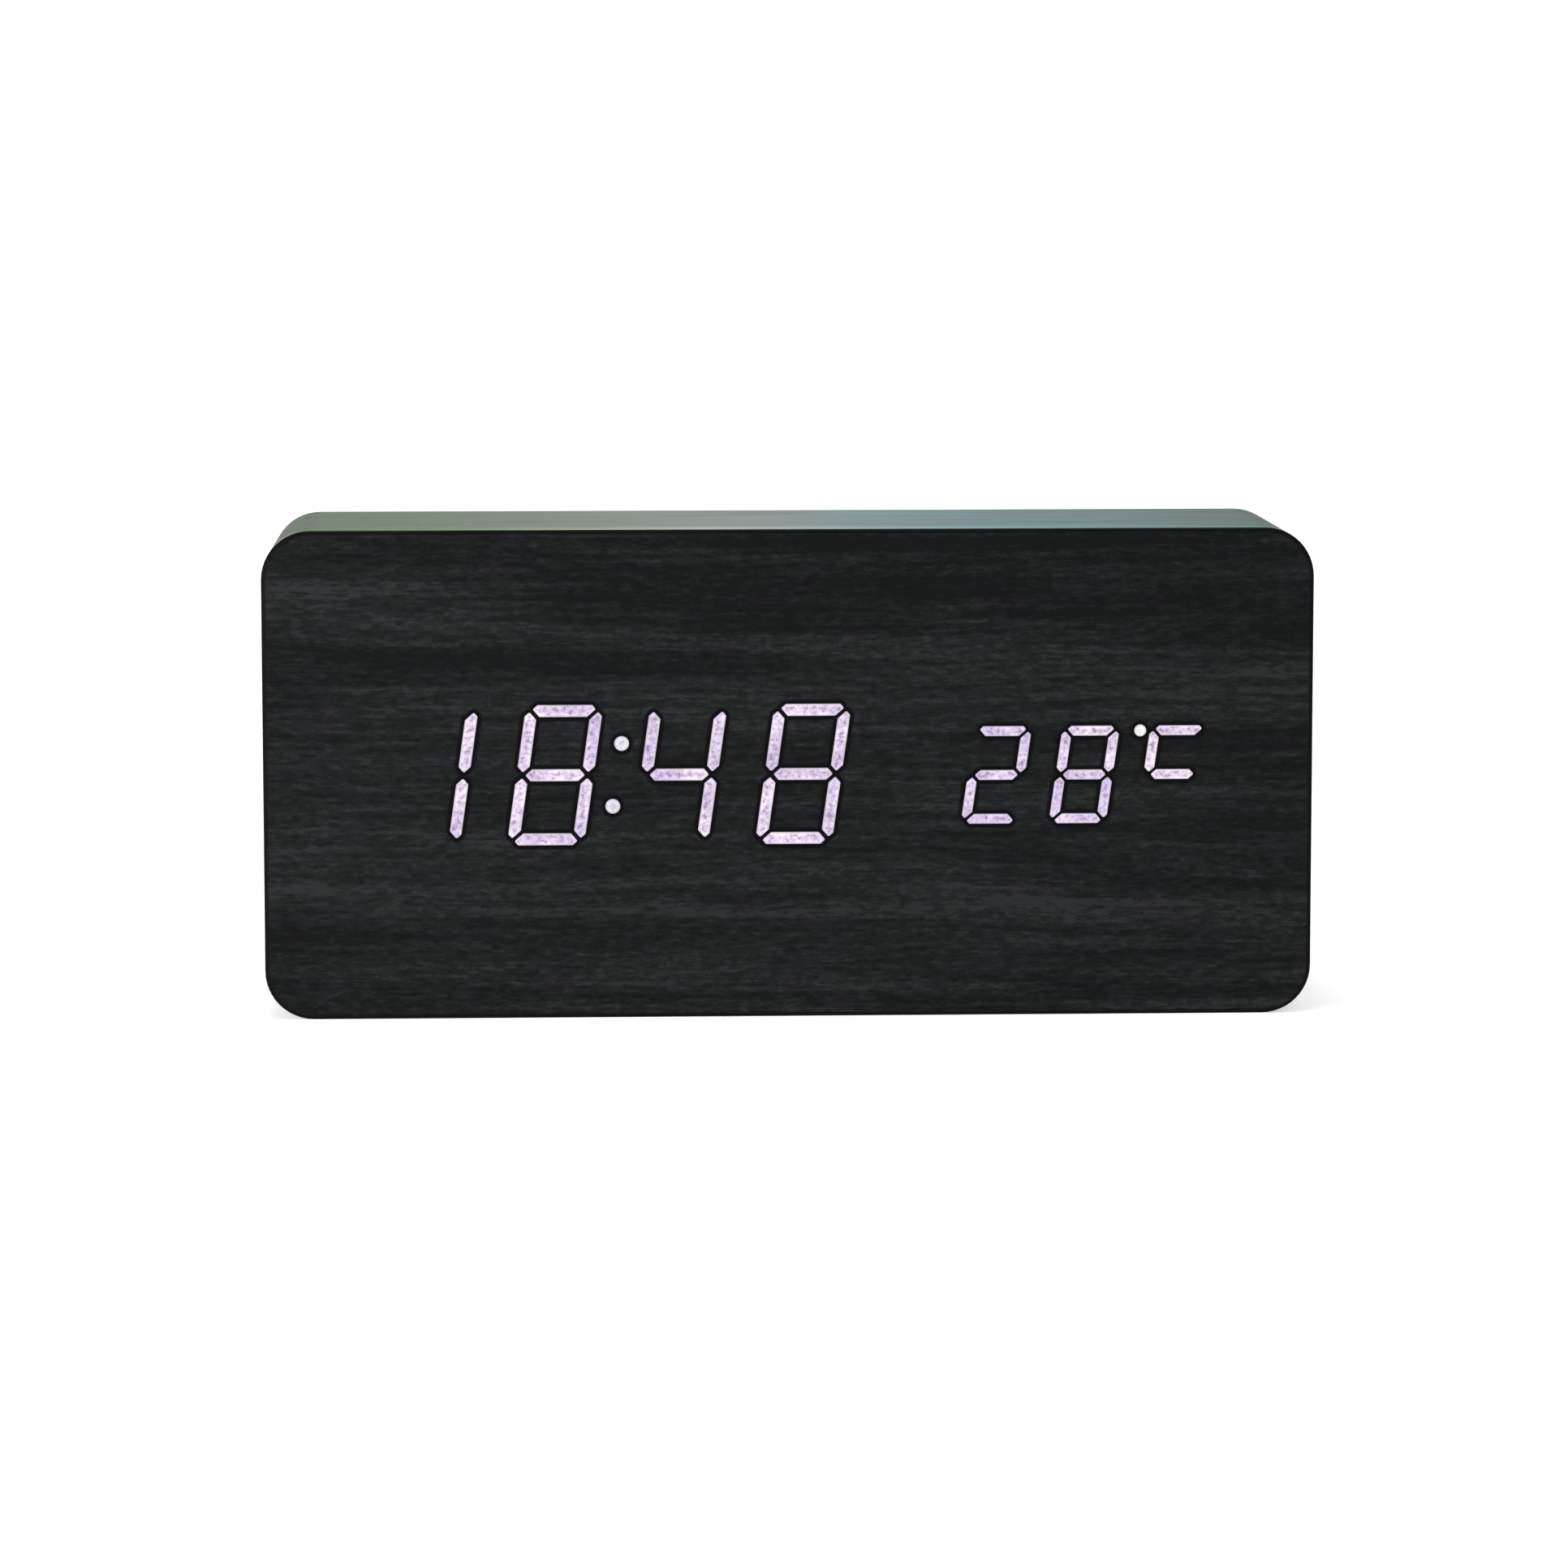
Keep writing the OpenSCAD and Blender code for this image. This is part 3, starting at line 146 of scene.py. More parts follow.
def within(tree, value, middle, half):  # 1 where value is no further than half from middle
    return calc(tree, "COMPARE", value, middle, half)


def between(tree, value, low, high):
    return times(tree, calc(tree, "GREATER_THAN", value, low), calc(tree, "LESS_THAN", value, high))


def offMiddle(tree, value, middle):
    return calc(tree, "ABSOLUTE", calc(tree, "SUBTRACT", value, middle))


def bump(tree, height, depth, normal=None):
    inputs = {"Height": height, "Distance": depth, "Strength": 1.0}
    if normal:
        inputs["Normal"] = normal
    return put(tree, "ShaderNodeBump", inputs).outputs["Normal"]


def softEdge(tree, radius, samples=4):  # rounded look of a moulded or rolled edge
    return put(tree, "ShaderNodeBevel", {"Radius": radius}, samples=samples).outputs["Normal"]


def flatNormal(tree):
    return put(tree, "ShaderNodeNewGeometry").outputs["Normal"]


def newFinish(name):  # with the place of a point on the object, whole and by axis
    material = bpy.data.materials.new(name)
    material.use_nodes = True
    tree = material.node_tree
    place = put(tree, "ShaderNodeTexCoord").outputs["Object"]
    axis = put(tree, "ShaderNodeSeparateXYZ", {0: place}).outputs
    return material, tree, tree.nodes["Principled BSDF"].inputs, place, axis


def bareTree(owner):
    owner.use_nodes = True
    owner.node_tree.nodes.clear()
    return owner.node_tree


def shaderGroup(name, inputs, outputs):
    group = bpy.data.node_groups.new(name, "ShaderNodeTree")
    for label, value in inputs.items():
        kind = "NodeSocketVector" if isinstance(value, tuple) else "NodeSocketFloat"
        group.interface.new_socket(label, in_out="INPUT", socket_type=kind).default_value = value
    for label in outputs:
        group.interface.new_socket(label, in_out="OUTPUT", socket_type="NodeSocketFloat")
    return group, group.nodes.new("NodeGroupInput").outputs, group.nodes.new("NodeGroupOutput").inputs


def useGroup(tree, group, **inputs):
    return put(tree, "ShaderNodeGroup", inputs, node_tree=group).outputs


# camera, solved from the case's outline in the picture
photoCamera = {
    "place": (-0.034469, -0.841062, 0.129777),
    "forward": (0.0406992, 0.9923822, -0.1162807),
    "up": (0.0054948, 0.1161531, 0.9932161),
    "lens": 133.018,
    "sensor": 36.0,
    "clip": (0.01, 50),
}


def setCamera():
    data = bpy.data.cameras.new("photoCamera")
    data.lens, data.sensor_width = photoCamera["lens"], photoCamera["sensor"]
    data.clip_start, data.clip_end = photoCamera["clip"]
    camera = newObject("photoCamera", data)
    ahead, up = Vector(photoCamera["forward"]), Vector(photoCamera["up"])
    turn = Matrix((ahead.cross(up).normalized(), up, -ahead)).transposed().to_4x4()
    camera.matrix_world = Matrix.Translation(photoCamera["place"]) @ turn
    scene.camera = camera


# pale floor, soft lamps, and a world that is white to the camera and a pale room to reflections
studio = {
    "floorSize": 8.0,
    "floorColour": grey(0.80),
    "floorLift": 0.56,  # added where the floor is seen, straight or mirrored, so that it reads as white
    "sky": grey(0.56),
    "roomGloss": grey(0.72),
    # strip that reflections see behind the clock: a white patch between greener and bluer sides
    "backGloss": [
        (0.0, (0.72, 0.73, 0.72, 1)), (0.33, (0.42, 0.55, 0.39, 1)), (0.374, (0.30, 0.48, 0.25, 1)),
        (0.431, (0.43, 0.66, 0.37, 1)), (0.494, (1.0, 1.0, 0.95, 1)), (0.525, (0.58, 0.93, 1.0, 1)),
        (0.569, (0.43, 0.71, 0.74, 1)), (0.634, (0.33, 0.49, 0.41, 1)), (0.70, (0.56, 0.64, 0.58, 1)),
        (1.0, (0.72, 0.73, 0.72, 1))],
    "backSpan": (-0.341, 0.4125),  # sideways slope of the reflected ray at the ends of the list
    "backFade": (-0.15, 0.45),  # depth part of the ray where the strip comes in
    "leastDepth": 0.05,
    "aim": (0, 0, 0.035),
    "lamps": [  # name, place, size, watts
        ("keyLamp", (-0.40, -0.42, 0.16), 0.3, 1.5),
        ("fillLamp", (0.85, -0.75, 0.65), 0.9, 0.7),
        ("backLamp", (-0.15, 1.15, 0.95), 0.9, 4.0),
        ("topLamp", (-0.05, -0.14, 0.95), 0.28, 2.2),
    ],
}


def setFloor():
    bpy.ops.mesh.primitive_plane_add(size=studio["floorSize"])
    floor = bpy.context.object
    floor.name = "studioFloor"
    material = bpy.data.materials.new("floorPaint")
    tree = bareTree(material)
    path = put(tree, "ShaderNodeLightPath").outputs
    seen = calc(tree, "MAXIMUM", path["Is Camera Ray"], path["Is Transmission Ray"])
    seen = calc(tree, "MAXIMUM", seen, path["Is Glossy Ray"])
    paint = put(tree, "ShaderNodeBsdfDiffuse", {"Color": studio["floorColour"]})
    lift = put(tree, "ShaderNodeEmission", {"Strength": times(tree, seen, studio["floorLift"])})
    both = put(tree, "ShaderNodeAddShader", {0: paint.outputs[0], 1: lift.outputs[0]})
    put(tree, "ShaderNodeOutputMaterial", {"Surface": both.outputs[0]})
    floor.data.materials.append(material)


def setWorld():
    world = bpy.data.worlds.new("studioWorld")
    tree = bareTree(world)
    path = put(tree, "ShaderNodeLightPath").outputs
    ray = put(tree, "ShaderNodeTexCoord").outputs["Generated"]
    way = put(tree, "ShaderNodeSeparateXYZ", {0: ray}).outputs
    slope = calc(tree, "DIVIDE", way["X"], calc(tree, "MAXIMUM", way["Y"], studio["leastDepth"]))
    strip = ramp(tree, remap(tree, slope, *studio["backSpan"]), studio["backGloss"])
    behind = remap(tree, way["Y"], *studio["backFade"], easing="SMOOTHSTEP")
    gloss = mixColour(tree, behind, studio["roomGloss"], strip)
    light = mixColour(tree, path["Is Glossy Ray"], studio["sky"], gloss)
    seen = calc(tree, "MAXIMUM", path["Is Camera Ray"], path["Is Transmission Ray"])
    sky = put(tree, "ShaderNodeBackground", {"Color": mixColour(tree, seen, light, grey(1)), "Strength": 1.0})
    put(tree, "ShaderNodeOutputWorld", {"Surface": sky.outputs[0]})
    scene.world = world


def setLamps():
    for name, place, size, watts in studio["lamps"]:
        data = bpy.data.lights.new(name, "AREA")
        data.size, data.energy = size, watts
        aim = Vector(studio["aim"]) - Vector(place)
        turn = aim.to_track_quat("-Z", "Y").to_matrix().to_4x4()
        newObject(name, data).matrix_world = Matrix.Translation(place) @ turn


setCamera()
setFloor()
setWorld()
setLamps()
scene.view_settings.view_transform = "Standard"
print("camera and studio set")


# long wandering streaks with fine fibres and open pores, for the film, the wrap and what shines through;
# each scale is waves for each mm along, across, and by seed
grainLook = {
    "wander": 6.0,  # mm that a streak moves across
    "wanderScale": (0.010, 0.030, 1.0),
    "broadScale": (0.0065, 0.085, 1.0),
    "bandScale": (0.010, 0.25, 1.0),
    "fibreScale": (0.040, 0.90, 1.0),
    "fineScale": (0.22, 4.2, 1.0),
    "fleckScale": (0.60, 1.6, 1.0),
    "shares": (0.24, 0.42, 0.30, 0.46),  # broad, band, fibre and fleck in a streak
    "contrast": 0.098,  # half the spread of noise that runs from dark to light
    "poreFrom": (0.58, 0.70),
    "tintScale": (0.12, 0.30, 1.0), "tintFrom": (0.35, 0.65),
    "relief": (0.55, 0.45),  # fibre and fine grain in the height
}


def makeWoodGrain():
    look = grainLook
    tree, given, result = shaderGroup("woodGrain", {"Along": 0.0, "Across": 0.0, "Seed": 0.0},
                                      ["Streak", "Fibre", "Pore", "Tint", "Height"])
    along = times(tree, given["Along"], 1000.0)
    across = times(tree, given["Across"], 1000.0)
    flat = triple(tree, along, across, given["Seed"])
    drift = calc(tree, "SUBTRACT", noise(tree, flat, look["wanderScale"]), 0.5)
    bent = calc(tree, "MULTIPLY_ADD", drift, look["wander"], across)
    place = triple(tree, along, bent, given["Seed"])
    broad = noise(tree, place, look["broadScale"])
    band = noise(tree, place, look["bandScale"], 4.0, 0.6)
    fibre = noise(tree, place, look["fibreScale"], 4.0, 0.6)
    fine = noise(tree, place, look["fineScale"], 2.0, 0.6)
    fleck = calc(tree, "SUBTRACT", noise(tree, flat, look["fleckScale"], 3.0, 0.7), 0.5)
    streak = mixture(tree, *zip((broad, band, fibre, fleck), look["shares"]))
    feed(tree, result,
         Streak=remap(tree, streak, 0.5 - look["contrast"], 0.5 + look["contrast"]),
         Fibre=fibre,
         Pore=remap(tree, fine, *look["poreFrom"]),
         Tint=remap(tree, noise(tree, flat, look["tintScale"], 3.0), *look["tintFrom"]),
         Height=mixture(tree, *zip((fibre, fine), look["relief"])))
    return tree


# spark-eroded grain of a moulded part
mouldLook = {
    "roughScale": 1.7, "cloudScale": 60.0,
    "relief": (0.5, 0.6),  # roughness and pits in the height
    "shade": (0.4, 0.6),  # roughness and clouds in the colour
}


def makeMouldGrain():
    tree, given, result = shaderGroup("mouldGrain", {"Place": (0.0, 0.0, 0.0), "Size": 0.3},
                                      ["Height", "Shade"])
    place = put(tree, "ShaderNodeVectorMath",
                {0: given["Place"], "Scale": calc(tree, "DIVIDE", 1000.0, given["Size"])},
                operation="SCALE").outputs[0]
    pits = put(tree, "ShaderNodeTexVoronoi", {"Vector": place, "Scale": 1.0}).outputs["Distance"]
    rough = noise(tree, place, mouldLook["roughScale"], 3.0, 0.6)
    cloud = noise(tree, given["Place"], mouldLook["cloudScale"], 3.0)
    feed(tree, result,
         Height=mixture(tree, *zip((rough, pits), mouldLook["relief"])),
         Shade=mixture(tree, *zip((rough, cloud), mouldLook["shade"])))
    return tree


# rolling marks, fine scratches and dulled patches on metal
markLook = {
    "run": (900.0, 9000.0, 9000.0), "spotScale": 420.0,  # waves for each metre
    "dull": (0.3, 0.7),  # marks and spots in the dulling
}


def makeMetalMarks():
    tree, given, result = shaderGroup("metalMarks", {"Place": (0.0, 0.0, 0.0), "Run": markLook["run"]},
                                      ["Height", "Dull", "Shade"])
    drawn = noise(tree, given["Place"], given["Run"], 2.0, 0.6)
    spots = noise(tree, given["Place"], markLook["spotScale"], 4.0, 0.6)
    feed(tree, result, Height=drawn, Dull=mixture(tree, *zip((drawn, spots), markLook["dull"])),
         Shade=spread(tree, spots))
    return tree


# rubbed edges: where the eased normal leaves the true one, broken up by a little noise
rubLook = {"edge": (0.985, 0.80), "patchScale": 260.0, "patchFrom": (0.40, 0.62), "least": 0.25}


def makeEdgeRub():
    tree, given, result = shaderGroup("edgeRub", {"Eased": (0.0, 0.0, 1.0), "Flat": (0.0, 0.0, 1.0),
                                                  "Place": (0.0, 0.0, 0.0), "Amount": 0.5}, ["Rub"])
    match = vecCalc(tree, "DOT_PRODUCT", given["Eased"], given["Flat"]).outputs["Value"]
    edge = remap(tree, match, *rubLook["edge"])
    patch = noise(tree, given["Place"], rubLook["patchScale"], 4.0, 0.6)
    patchy = remap(tree, patch, *rubLook["patchFrom"], rubLook["least"])
    feed(tree, result, Rub=times(tree, edge, patchy, given["Amount"]))
    return tree


woodGrain, mouldGrain = makeWoodGrain(), makeMouldGrain()
metalMarks, edgeRub = makeMetalMarks(), makeEdgeRub()

filmLook = {
    "tones": [(0.0, tone(17, 18, 18)), (0.30, tone(24, 26, 25)), (0.55, tone(30, 31, 31)),
              (0.80, tone(37, 38, 38)), (1.0, tone(46, 47, 47))],
    "green": (0.90, 1.015, 0.92, 1), "violet": (1.01, 0.99, 1.18, 1),  # patches of cast
    "poreTone": tone(12, 13, 13), "poreShare": 0.55,
    "rough": (0.40, 0.54), "wrapRough": (0.24, 0.42),
    "shine": 0.06, "wrapShine": 0.2,
    "half": (75 * mm, 35 * mm), "corner": 7 * mm,
    "border": (0.75 * mm, 0.40 * mm), "edgeShadeTone": tone(7, 8, 7),  # painted shade along the film's outer edge: from, full
    # painted shade: a dark line around each lit figure, which keeps off the outer edge
    "lineReach": 1.0 * mm, "lineSamples": 16, "lineMatch": (0.9999, 0.99), "lineInset": 2 * mm,
    "figureShadeTone": tone(6, 4, 8),
    # a few specks of dust
    "dustScale": 130.0, "dustSize": (0.012, 0.028), "dustRarity": 0.86, "dustShare": 0.35,
    "dustTone": tone(120, 120, 112),
    "depth": 0.035 * mm,
    "seed": 878.5, "wrapSeed": 11.0,
}


def woodColour(tree, grain):
    colour = ramp(tree, grain["Streak"], filmLook["tones"])
    cast = mixColour(tree, grain["Tint"], filmLook["green"], filmLook["violet"])
    colour = mixColour(tree, 1.0, colour, cast, "MULTIPLY")
    return mixColour(tree, times(tree, grain["Pore"], filmLook["poreShare"]), colour, filmLook["poreTone"])


def makeGrainFilm():
    look = filmLook
    material, tree, shader, place, axis = newFinish("grainFilm")
    grain = useGroup(tree, woodGrain, Along=axis["X"], Across=axis["Z"], Seed=look["seed"])
    cell = put(tree, "ShaderNodeTexVoronoi", {"Vector": place, "Scale": look["dustScale"]}).outputs
    near = remap(tree, cell["Distance"], *look["dustSize"], 1.0, 0.0)
    lot = put(tree, "ShaderNodeSeparateColor", {0: cell["Color"]}).outputs[0]
    speck = times(tree, near, calc(tree, "GREATER_THAN", lot, look["dustRarity"]), look["dustShare"])
    # distance from the middle of the nearest corner, for the painted shade along the outer edge
    (halfWide, halfHigh), corner = look["half"], look["corner"]
    out = [calc(tree, "SUBTRACT", offMiddle(tree, axis["X"], 0.0), halfWide - corner),
           calc(tree, "SUBTRACT", offMiddle(tree, axis["Z"], halfHigh), halfHigh - corner)]
    past = triple(tree, *(calc(tree, "MAXIMUM", v, 0.0) for v in out))
    rim = vecCalc(tree, "LENGTH", past).outputs["Value"]
    edgeShade = remap(tree, rim, *(corner - v for v in look["border"]))
    # the eased normal leaves the flat one beside the windows of the lit figures, where the painted shade goes
    eased = softEdge(tree, look["lineReach"], look["lineSamples"])
    match = vecCalc(tree, "DOT_PRODUCT", eased, flatNormal(tree)).outputs["Value"]
    lined = times(tree, remap(tree, match, *look["lineMatch"]),
                  calc(tree, "LESS_THAN", rim, corner - look["lineInset"]))
    colour = mixColour(tree, speck, woodColour(tree, grain), look["dustTone"])
    # painted shade: a dark line around the windows of the lit figures
    colour = mixColour(tree, lined, colour, look["figureShadeTone"])
    feed(tree, shader,
         # painted shade: the film is darkened to near black just inside its outer edge
         Base_Color=mixColour(tree, edgeShade, colour, look["edgeShadeTone"]),
         Roughness=spread(tree, grain["Fibre"], *look["rough"]),
         Specular_IOR_Level=look["shine"],
         Normal=bump(tree, grain["Height"], look["depth"]))
    return material


wrapLook = {
    "cavity": (70.05 * mm, 30.05 * mm, -14.45 * mm),  # half width, half height, front of the hollow
    "middle": 35 * mm,
    "fibreboard": (tone(126, 98, 68), tone(92, 69, 46)),
    "chipScale": 1500.0, "boardRough": 0.85, "boardRelief": 1.5,
    "rim": (19.45 * mm, 19.65 * mm),  # painted back edge: from, full
    "rimPaint": (tone(24, 24, 24), tone(44, 42, 40)), "rimChips": (0.45, 0.8),
    "polished": (-12 * mm, -18 * mm, 1.0, 0.55),  # front edge rubbed smooth: from, full, roughness left
}


def makeWrappedWood():
    look = wrapLook
    material, tree, shader, place, axis = newFinish("wrappedWood")
    wrapRun = calc(tree, "ADD", axis["X"], axis["Z"])  # the grain runs on round the long edges
    grain = useGroup(tree, woodGrain, Along=wrapRun, Across=axis["Y"], Seed=filmLook["wrapSeed"])
    halfWide, halfHigh, front = look["cavity"]
    inWide = calc(tree, "LESS_THAN", calc(tree, "ABSOLUTE", axis["X"]), halfWide)
    inHigh = calc(tree, "LESS_THAN", offMiddle(tree, axis["Z"], look["middle"]), halfHigh)
    inside = times(tree, inWide, inHigh, calc(tree, "GREATER_THAN", axis["Y"], front))
    chips = noise(tree, place, look["chipScale"], 4.0, 0.7)
    board = mixColour(tree, chips, *look["fibreboard"])
    paint = mixColour(tree, remap(tree, chips, *look["rimChips"]), *look["rimPaint"])
    colour = mixColour(tree, remap(tree, axis["Y"], *look["rim"]), woodColour(tree, grain), paint)
    rough = times(tree, remap(tree, axis["Y"], *look["polished"]),
                  spread(tree, grain["Fibre"], *filmLook["wrapRough"]))
    height = calc(tree, "MULTIPLY_ADD", times(tree, chips, inside), look["boardRelief"], grain["Height"])
    feed(tree, shader,
         Base_Color=mixColour(tree, inside, colour, board),
         Roughness=calc(tree, "MAXIMUM", times(tree, inside, look["boardRough"]), rough),
         Specular_IOR_Level=filmLook["wrapShine"],
         Normal=bump(tree, height, filmLook["depth"]))
    return material


# glow of the lit faces, which carry how deep a point lies: -1 dark side, 0 bright edge, 1 core
litLook = {
    # edge, core, most of a fleck in the glow, casts of its patches
    "litFigure": (tone(252, 242, 254), tone(237, 222, 245), 0.85,
                  ((0.80, 0.75, 0.91, 1), (1.11, 1.09, 1.06, 1))),
    "litDot": (tone(246, 244, 249), tone(218, 214, 226), 0.5, ((0.92, 0.89, 0.96, 1), grey(1.03))),
    "litDegree": (tone(253, 253, 252), tone(246, 246, 246), 0.2, (grey(0.99), grey(1.01))),
    "fleck": tone(134, 117, 154), "fleckScale": (1300.0, 1300.0, 1500.0), "fleckFrom": (0.44, 0.67),
    "fleckDeep": (-0.4, 0.2),
    "patchScale": 240.0, "patchFrom": (0.36, 0.64), "patchShift": (0.0, 0.935417, 0.0),
    "grainDim": (0.93, 1.02),  # the film's streaks show in the glow
    "behindFilm": (tone(60, 58, 62), tone(72, 70, 74)),
    "rough": (0.45, 0.6), "shine": 0.1,
}


def makeLit(name):
    look = litLook
    edge, core, flecks, patches = look[name]
    material, tree, shader, place, axis = newFinish(name)
    grain = useGroup(tree, woodGrain, Along=axis["X"], Across=axis["Z"], Seed=filmLook["seed"])
    deep = put(tree, "ShaderNodeAttribute", attribute_name="core").outputs["Fac"]
    speckle = remap(tree, noise(tree, place, look["fleckScale"], 2.0, 0.65), *look["fleckFrom"], 0.0, flecks)
    glow = mixColour(tree, deep, edge, core)
    glow = mixColour(tree, times(tree, speckle, remap(tree, deep, *look["fleckDeep"])), glow, look["fleck"])
    shifted = vecCalc(tree, "ADD", place, look["patchShift"]).outputs[0]
    patch = remap(tree, noise(tree, shifted, look["patchScale"], 3.0), *look["patchFrom"])
    glow = mixColour(tree, 1.0, glow, mixColour(tree, patch, *patches), "MULTIPLY")
    front = remap(tree, deep, -1.0, 0.0)  # the sides and the back of a figure stay dark
    dim = times(tree, front, remap(tree, grain["Streak"], 0.0, 1.0, *look["grainDim"]))
    dimmed = put(tree, "ShaderNodeCombineColor", {0: dim, 1: dim, 2: dim}).outputs[0]
    feed(tree, shader,
         Base_Color=mixColour(tree, grain["Streak"], *look["behindFilm"]),
         Roughness=spread(tree, grain["Fibre"], *look["rough"]),
         Specular_IOR_Level=look["shine"],
         Emission_Color=mixColour(tree, 1.0, glow, dimmed, "MULTIPLY"),
         Emission_Strength=1.0,
         Normal=bump(tree, grain["Height"], filmLook["depth"]))
    return material


plastics = {
    # dark and light tone, roughness, grain size and depth in mm; where they differ from the usual also shine,
    # edge radius in mm, tone and amount of the rubbed edges
    "maskPlastic": ((20, 20, 20), (30, 30, 30), (0.6, 0.75), 0.2, 0.01, 0.3),
    "milkyGuide": ((196, 196, 198), (214, 214, 216), (0.3, 0.4), 0.5, 0.004),
    "lightSource": ((232, 214, 140), (244, 232, 176), (0.25, 0.4), 0.4, 0.004),
    "holderPlastic": ((26, 26, 28), (38, 38, 40), (0.4, 0.55), 0.2, 0.008),
    "ivoryNylon": ((214, 206, 184), (232, 226, 208), (0.4, 0.55), 0.3, 0.008),
    "ribbonSleeve": ((138, 139, 142), (160, 161, 164), (0.42, 0.58), 0.4, 0.006),
    "redSleeve": ((164, 22, 22), (190, 34, 32), (0.42, 0.56), 0.4, 0.006),
    "blackSleeve": ((22, 22, 23), (36, 36, 37), (0.42, 0.56), 0.4, 0.006),
    "switchPlastic": ((30, 30, 32), (44, 44, 46), (0.4, 0.55), 0.2, 0.006),
    "plungerPlastic": ((52, 52, 54), (70, 70, 72), (0.34, 0.5), 0.2, 0.005),
    "buzzerPlastic": ((22, 22, 24), (34, 34, 36), (0.38, 0.52), 0.25, 0.008),
    "beadEpoxy": ((36, 66, 122), (58, 92, 150), (0.12, 0.24), 0.6, 0.006, 0.5),
    "coverPlastic": ((22, 23, 24), (38, 39, 40), (0.40, 0.60), 0.6, 0.13, 0.32, 0.25, (74, 75, 76), 0.6),
    "doorPlastic": ((23, 24, 25), (39, 40, 41), (0.40, 0.60), 0.6, 0.13, 0.32, 0.22, (78, 79, 80), 0.7),
}


def makePlastic(name, dark, light, rough, grainSize, depth, shine=0.4, edge=0.15, rubbed=None, rub=0.0):
    material, tree, shader, place, _ = newFinish(name)
    mould = useGroup(tree, mouldGrain, Place=place, Size=grainSize)
    eased = softEdge(tree, edge * mm)
    colour = mixColour(tree, spread(tree, mould["Shade"]), tone(*dark), tone(*light))
    if rubbed:
        worn = useGroup(tree, edgeRub, Eased=eased, Flat=flatNormal(tree), Place=place, Amount=rub)
        colour = mixColour(tree, worn["Rub"], colour, tone(*rubbed))
    feed(tree, shader,
         Base_Color=colour,
         Roughness=spread(tree, mould["Shade"], *rough),
         Specular_IOR_Level=shine,
         Normal=bump(tree, mould["Height"], depth * mm, eased))
    return material


metals = {  # dark and light tone, roughness, and the run of the marks where it isn't the usual one
    "zincScrew": ((176, 178, 182), (206, 207, 210), (0.25, 0.4)),
    "blackScrew": ((58, 59, 61), (84, 85, 88), (0.30, 0.46)),
    "drawnCan": ((184, 186, 190), (214, 215, 218), (0.2, 0.34)),
    "coinSteel": ((190, 191, 194), (216, 217, 219), (0.18, 0.32), (4000.0, 4000.0, 4000.0)),
    "contactNickel": ((186, 180, 166), (214, 210, 198), (0.24, 0.4), (700.0, 6000.0, 6000.0)),
    "springWire": ((182, 184, 188), (220, 221, 224), (0.16, 0.3), (2500.0, 2500.0, 2500.0)),
    "socketSteel": ((178, 180, 184), (212, 213, 216), (0.22, 0.36), (9000.0, 900.0, 9000.0)),
}
metalEdge, metalDepth = 0.1 * mm, 0.004 * mm


def makeMetal(name, dark, light, rough, run=markLook["run"]):
    material, tree, shader, place, _ = newFinish(name)
    marks = useGroup(tree, metalMarks, Place=place, Run=run)
    feed(tree, shader,
         Base_Color=mixColour(tree, marks["Shade"], tone(*dark), tone(*light)),
         Metallic=1.0,
         Roughness=spread(tree, marks["Dull"], *rough),
         Normal=bump(tree, marks["Height"], metalDepth, softEdge(tree, metalEdge)))
    return material


# the mark sunk into each button is filled with pale paint
buttonLook = {
    "x": -43.5 * mm, "z": {"set_button": 52 * mm, "up_button": 41 * mm, "down_button": 30 * mm},
    "markFloor": (19.5 * mm, 0.03 * mm), "markReach": 1.95 * mm,
    "tones": (tone(30, 31, 32), tone(40, 41, 42)), "paint": tone(196, 196, 190),
    "grain": 0.16, "depth": 0.006 * mm, "edge": 0.12 * mm, "rough": (0.36, 0.5), "shine": 0.4,
}


def makeButton(node):
    look = buttonLook
    material, tree, shader, place, axis = newFinish(node + "Plastic")
    mould = useGroup(tree, mouldGrain, Place=place, Size=look["grain"])
    inMark = times(tree, within(tree, axis["X"], look["x"], look["markReach"]),
                   within(tree, axis["Z"], look["z"][node], look["markReach"]),
                   within(tree, axis["Y"], *look["markFloor"]))
    feed(tree, shader,
         Base_Color=mixColour(tree, inMark, mixColour(tree, mould["Shade"], *look["tones"]), look["paint"]),
         Roughness=spread(tree, mould["Shade"], *look["rough"]),
         Specular_IOR_Level=look["shine"],
         Normal=bump(tree, mould["Height"], look["depth"], softEdge(tree, look["edge"])))
    return material


# tracks and holes follow the cells of a random pattern
boardLook = {
    "resist": tone(18, 74, 42), "copper": tone(38, 104, 58), "bare": tone(198, 176, 120),
    "cell": 2.2,  # mm
    "disorder": 0.6,
    "track": (0.42, 0.07), "hole": 0.12,  # middle and half width of a track, radius of a hole, in cells
    "hazeScale": 900.0, "rough": (0.28, 0.42), "depth": 0.03 * mm, "edge": 0.1 * mm,
}


def makeBoard():
    look = boardLook
    material, tree, shader, place, axis = newFinish("circuitBoard")
    lanes = put(tree, "ShaderNodeTexVoronoi",
                {"Vector": triple(tree, axis["X"], axis["Z"]), "Scale": 1000.0 / look["cell"],
                 "Randomness": look["disorder"]}, distance="MANHATTAN", feature="F1").outputs["Distance"]
    track = within(tree, lanes, *look["track"])
    hole = calc(tree, "LESS_THAN", lanes, look["hole"])
    colour = mixColour(tree, track, look["resist"], look["copper"])
    feed(tree, shader,
         Base_Color=mixColour(tree, hole, colour, look["bare"]),
         Roughness=spread(tree, noise(tree, place, look["hazeScale"], 3.0), *look["rough"]),
         Normal=bump(tree, calc(tree, "MAXIMUM", track, hole), look["depth"], softEdge(tree, look["edge"])))
    return material


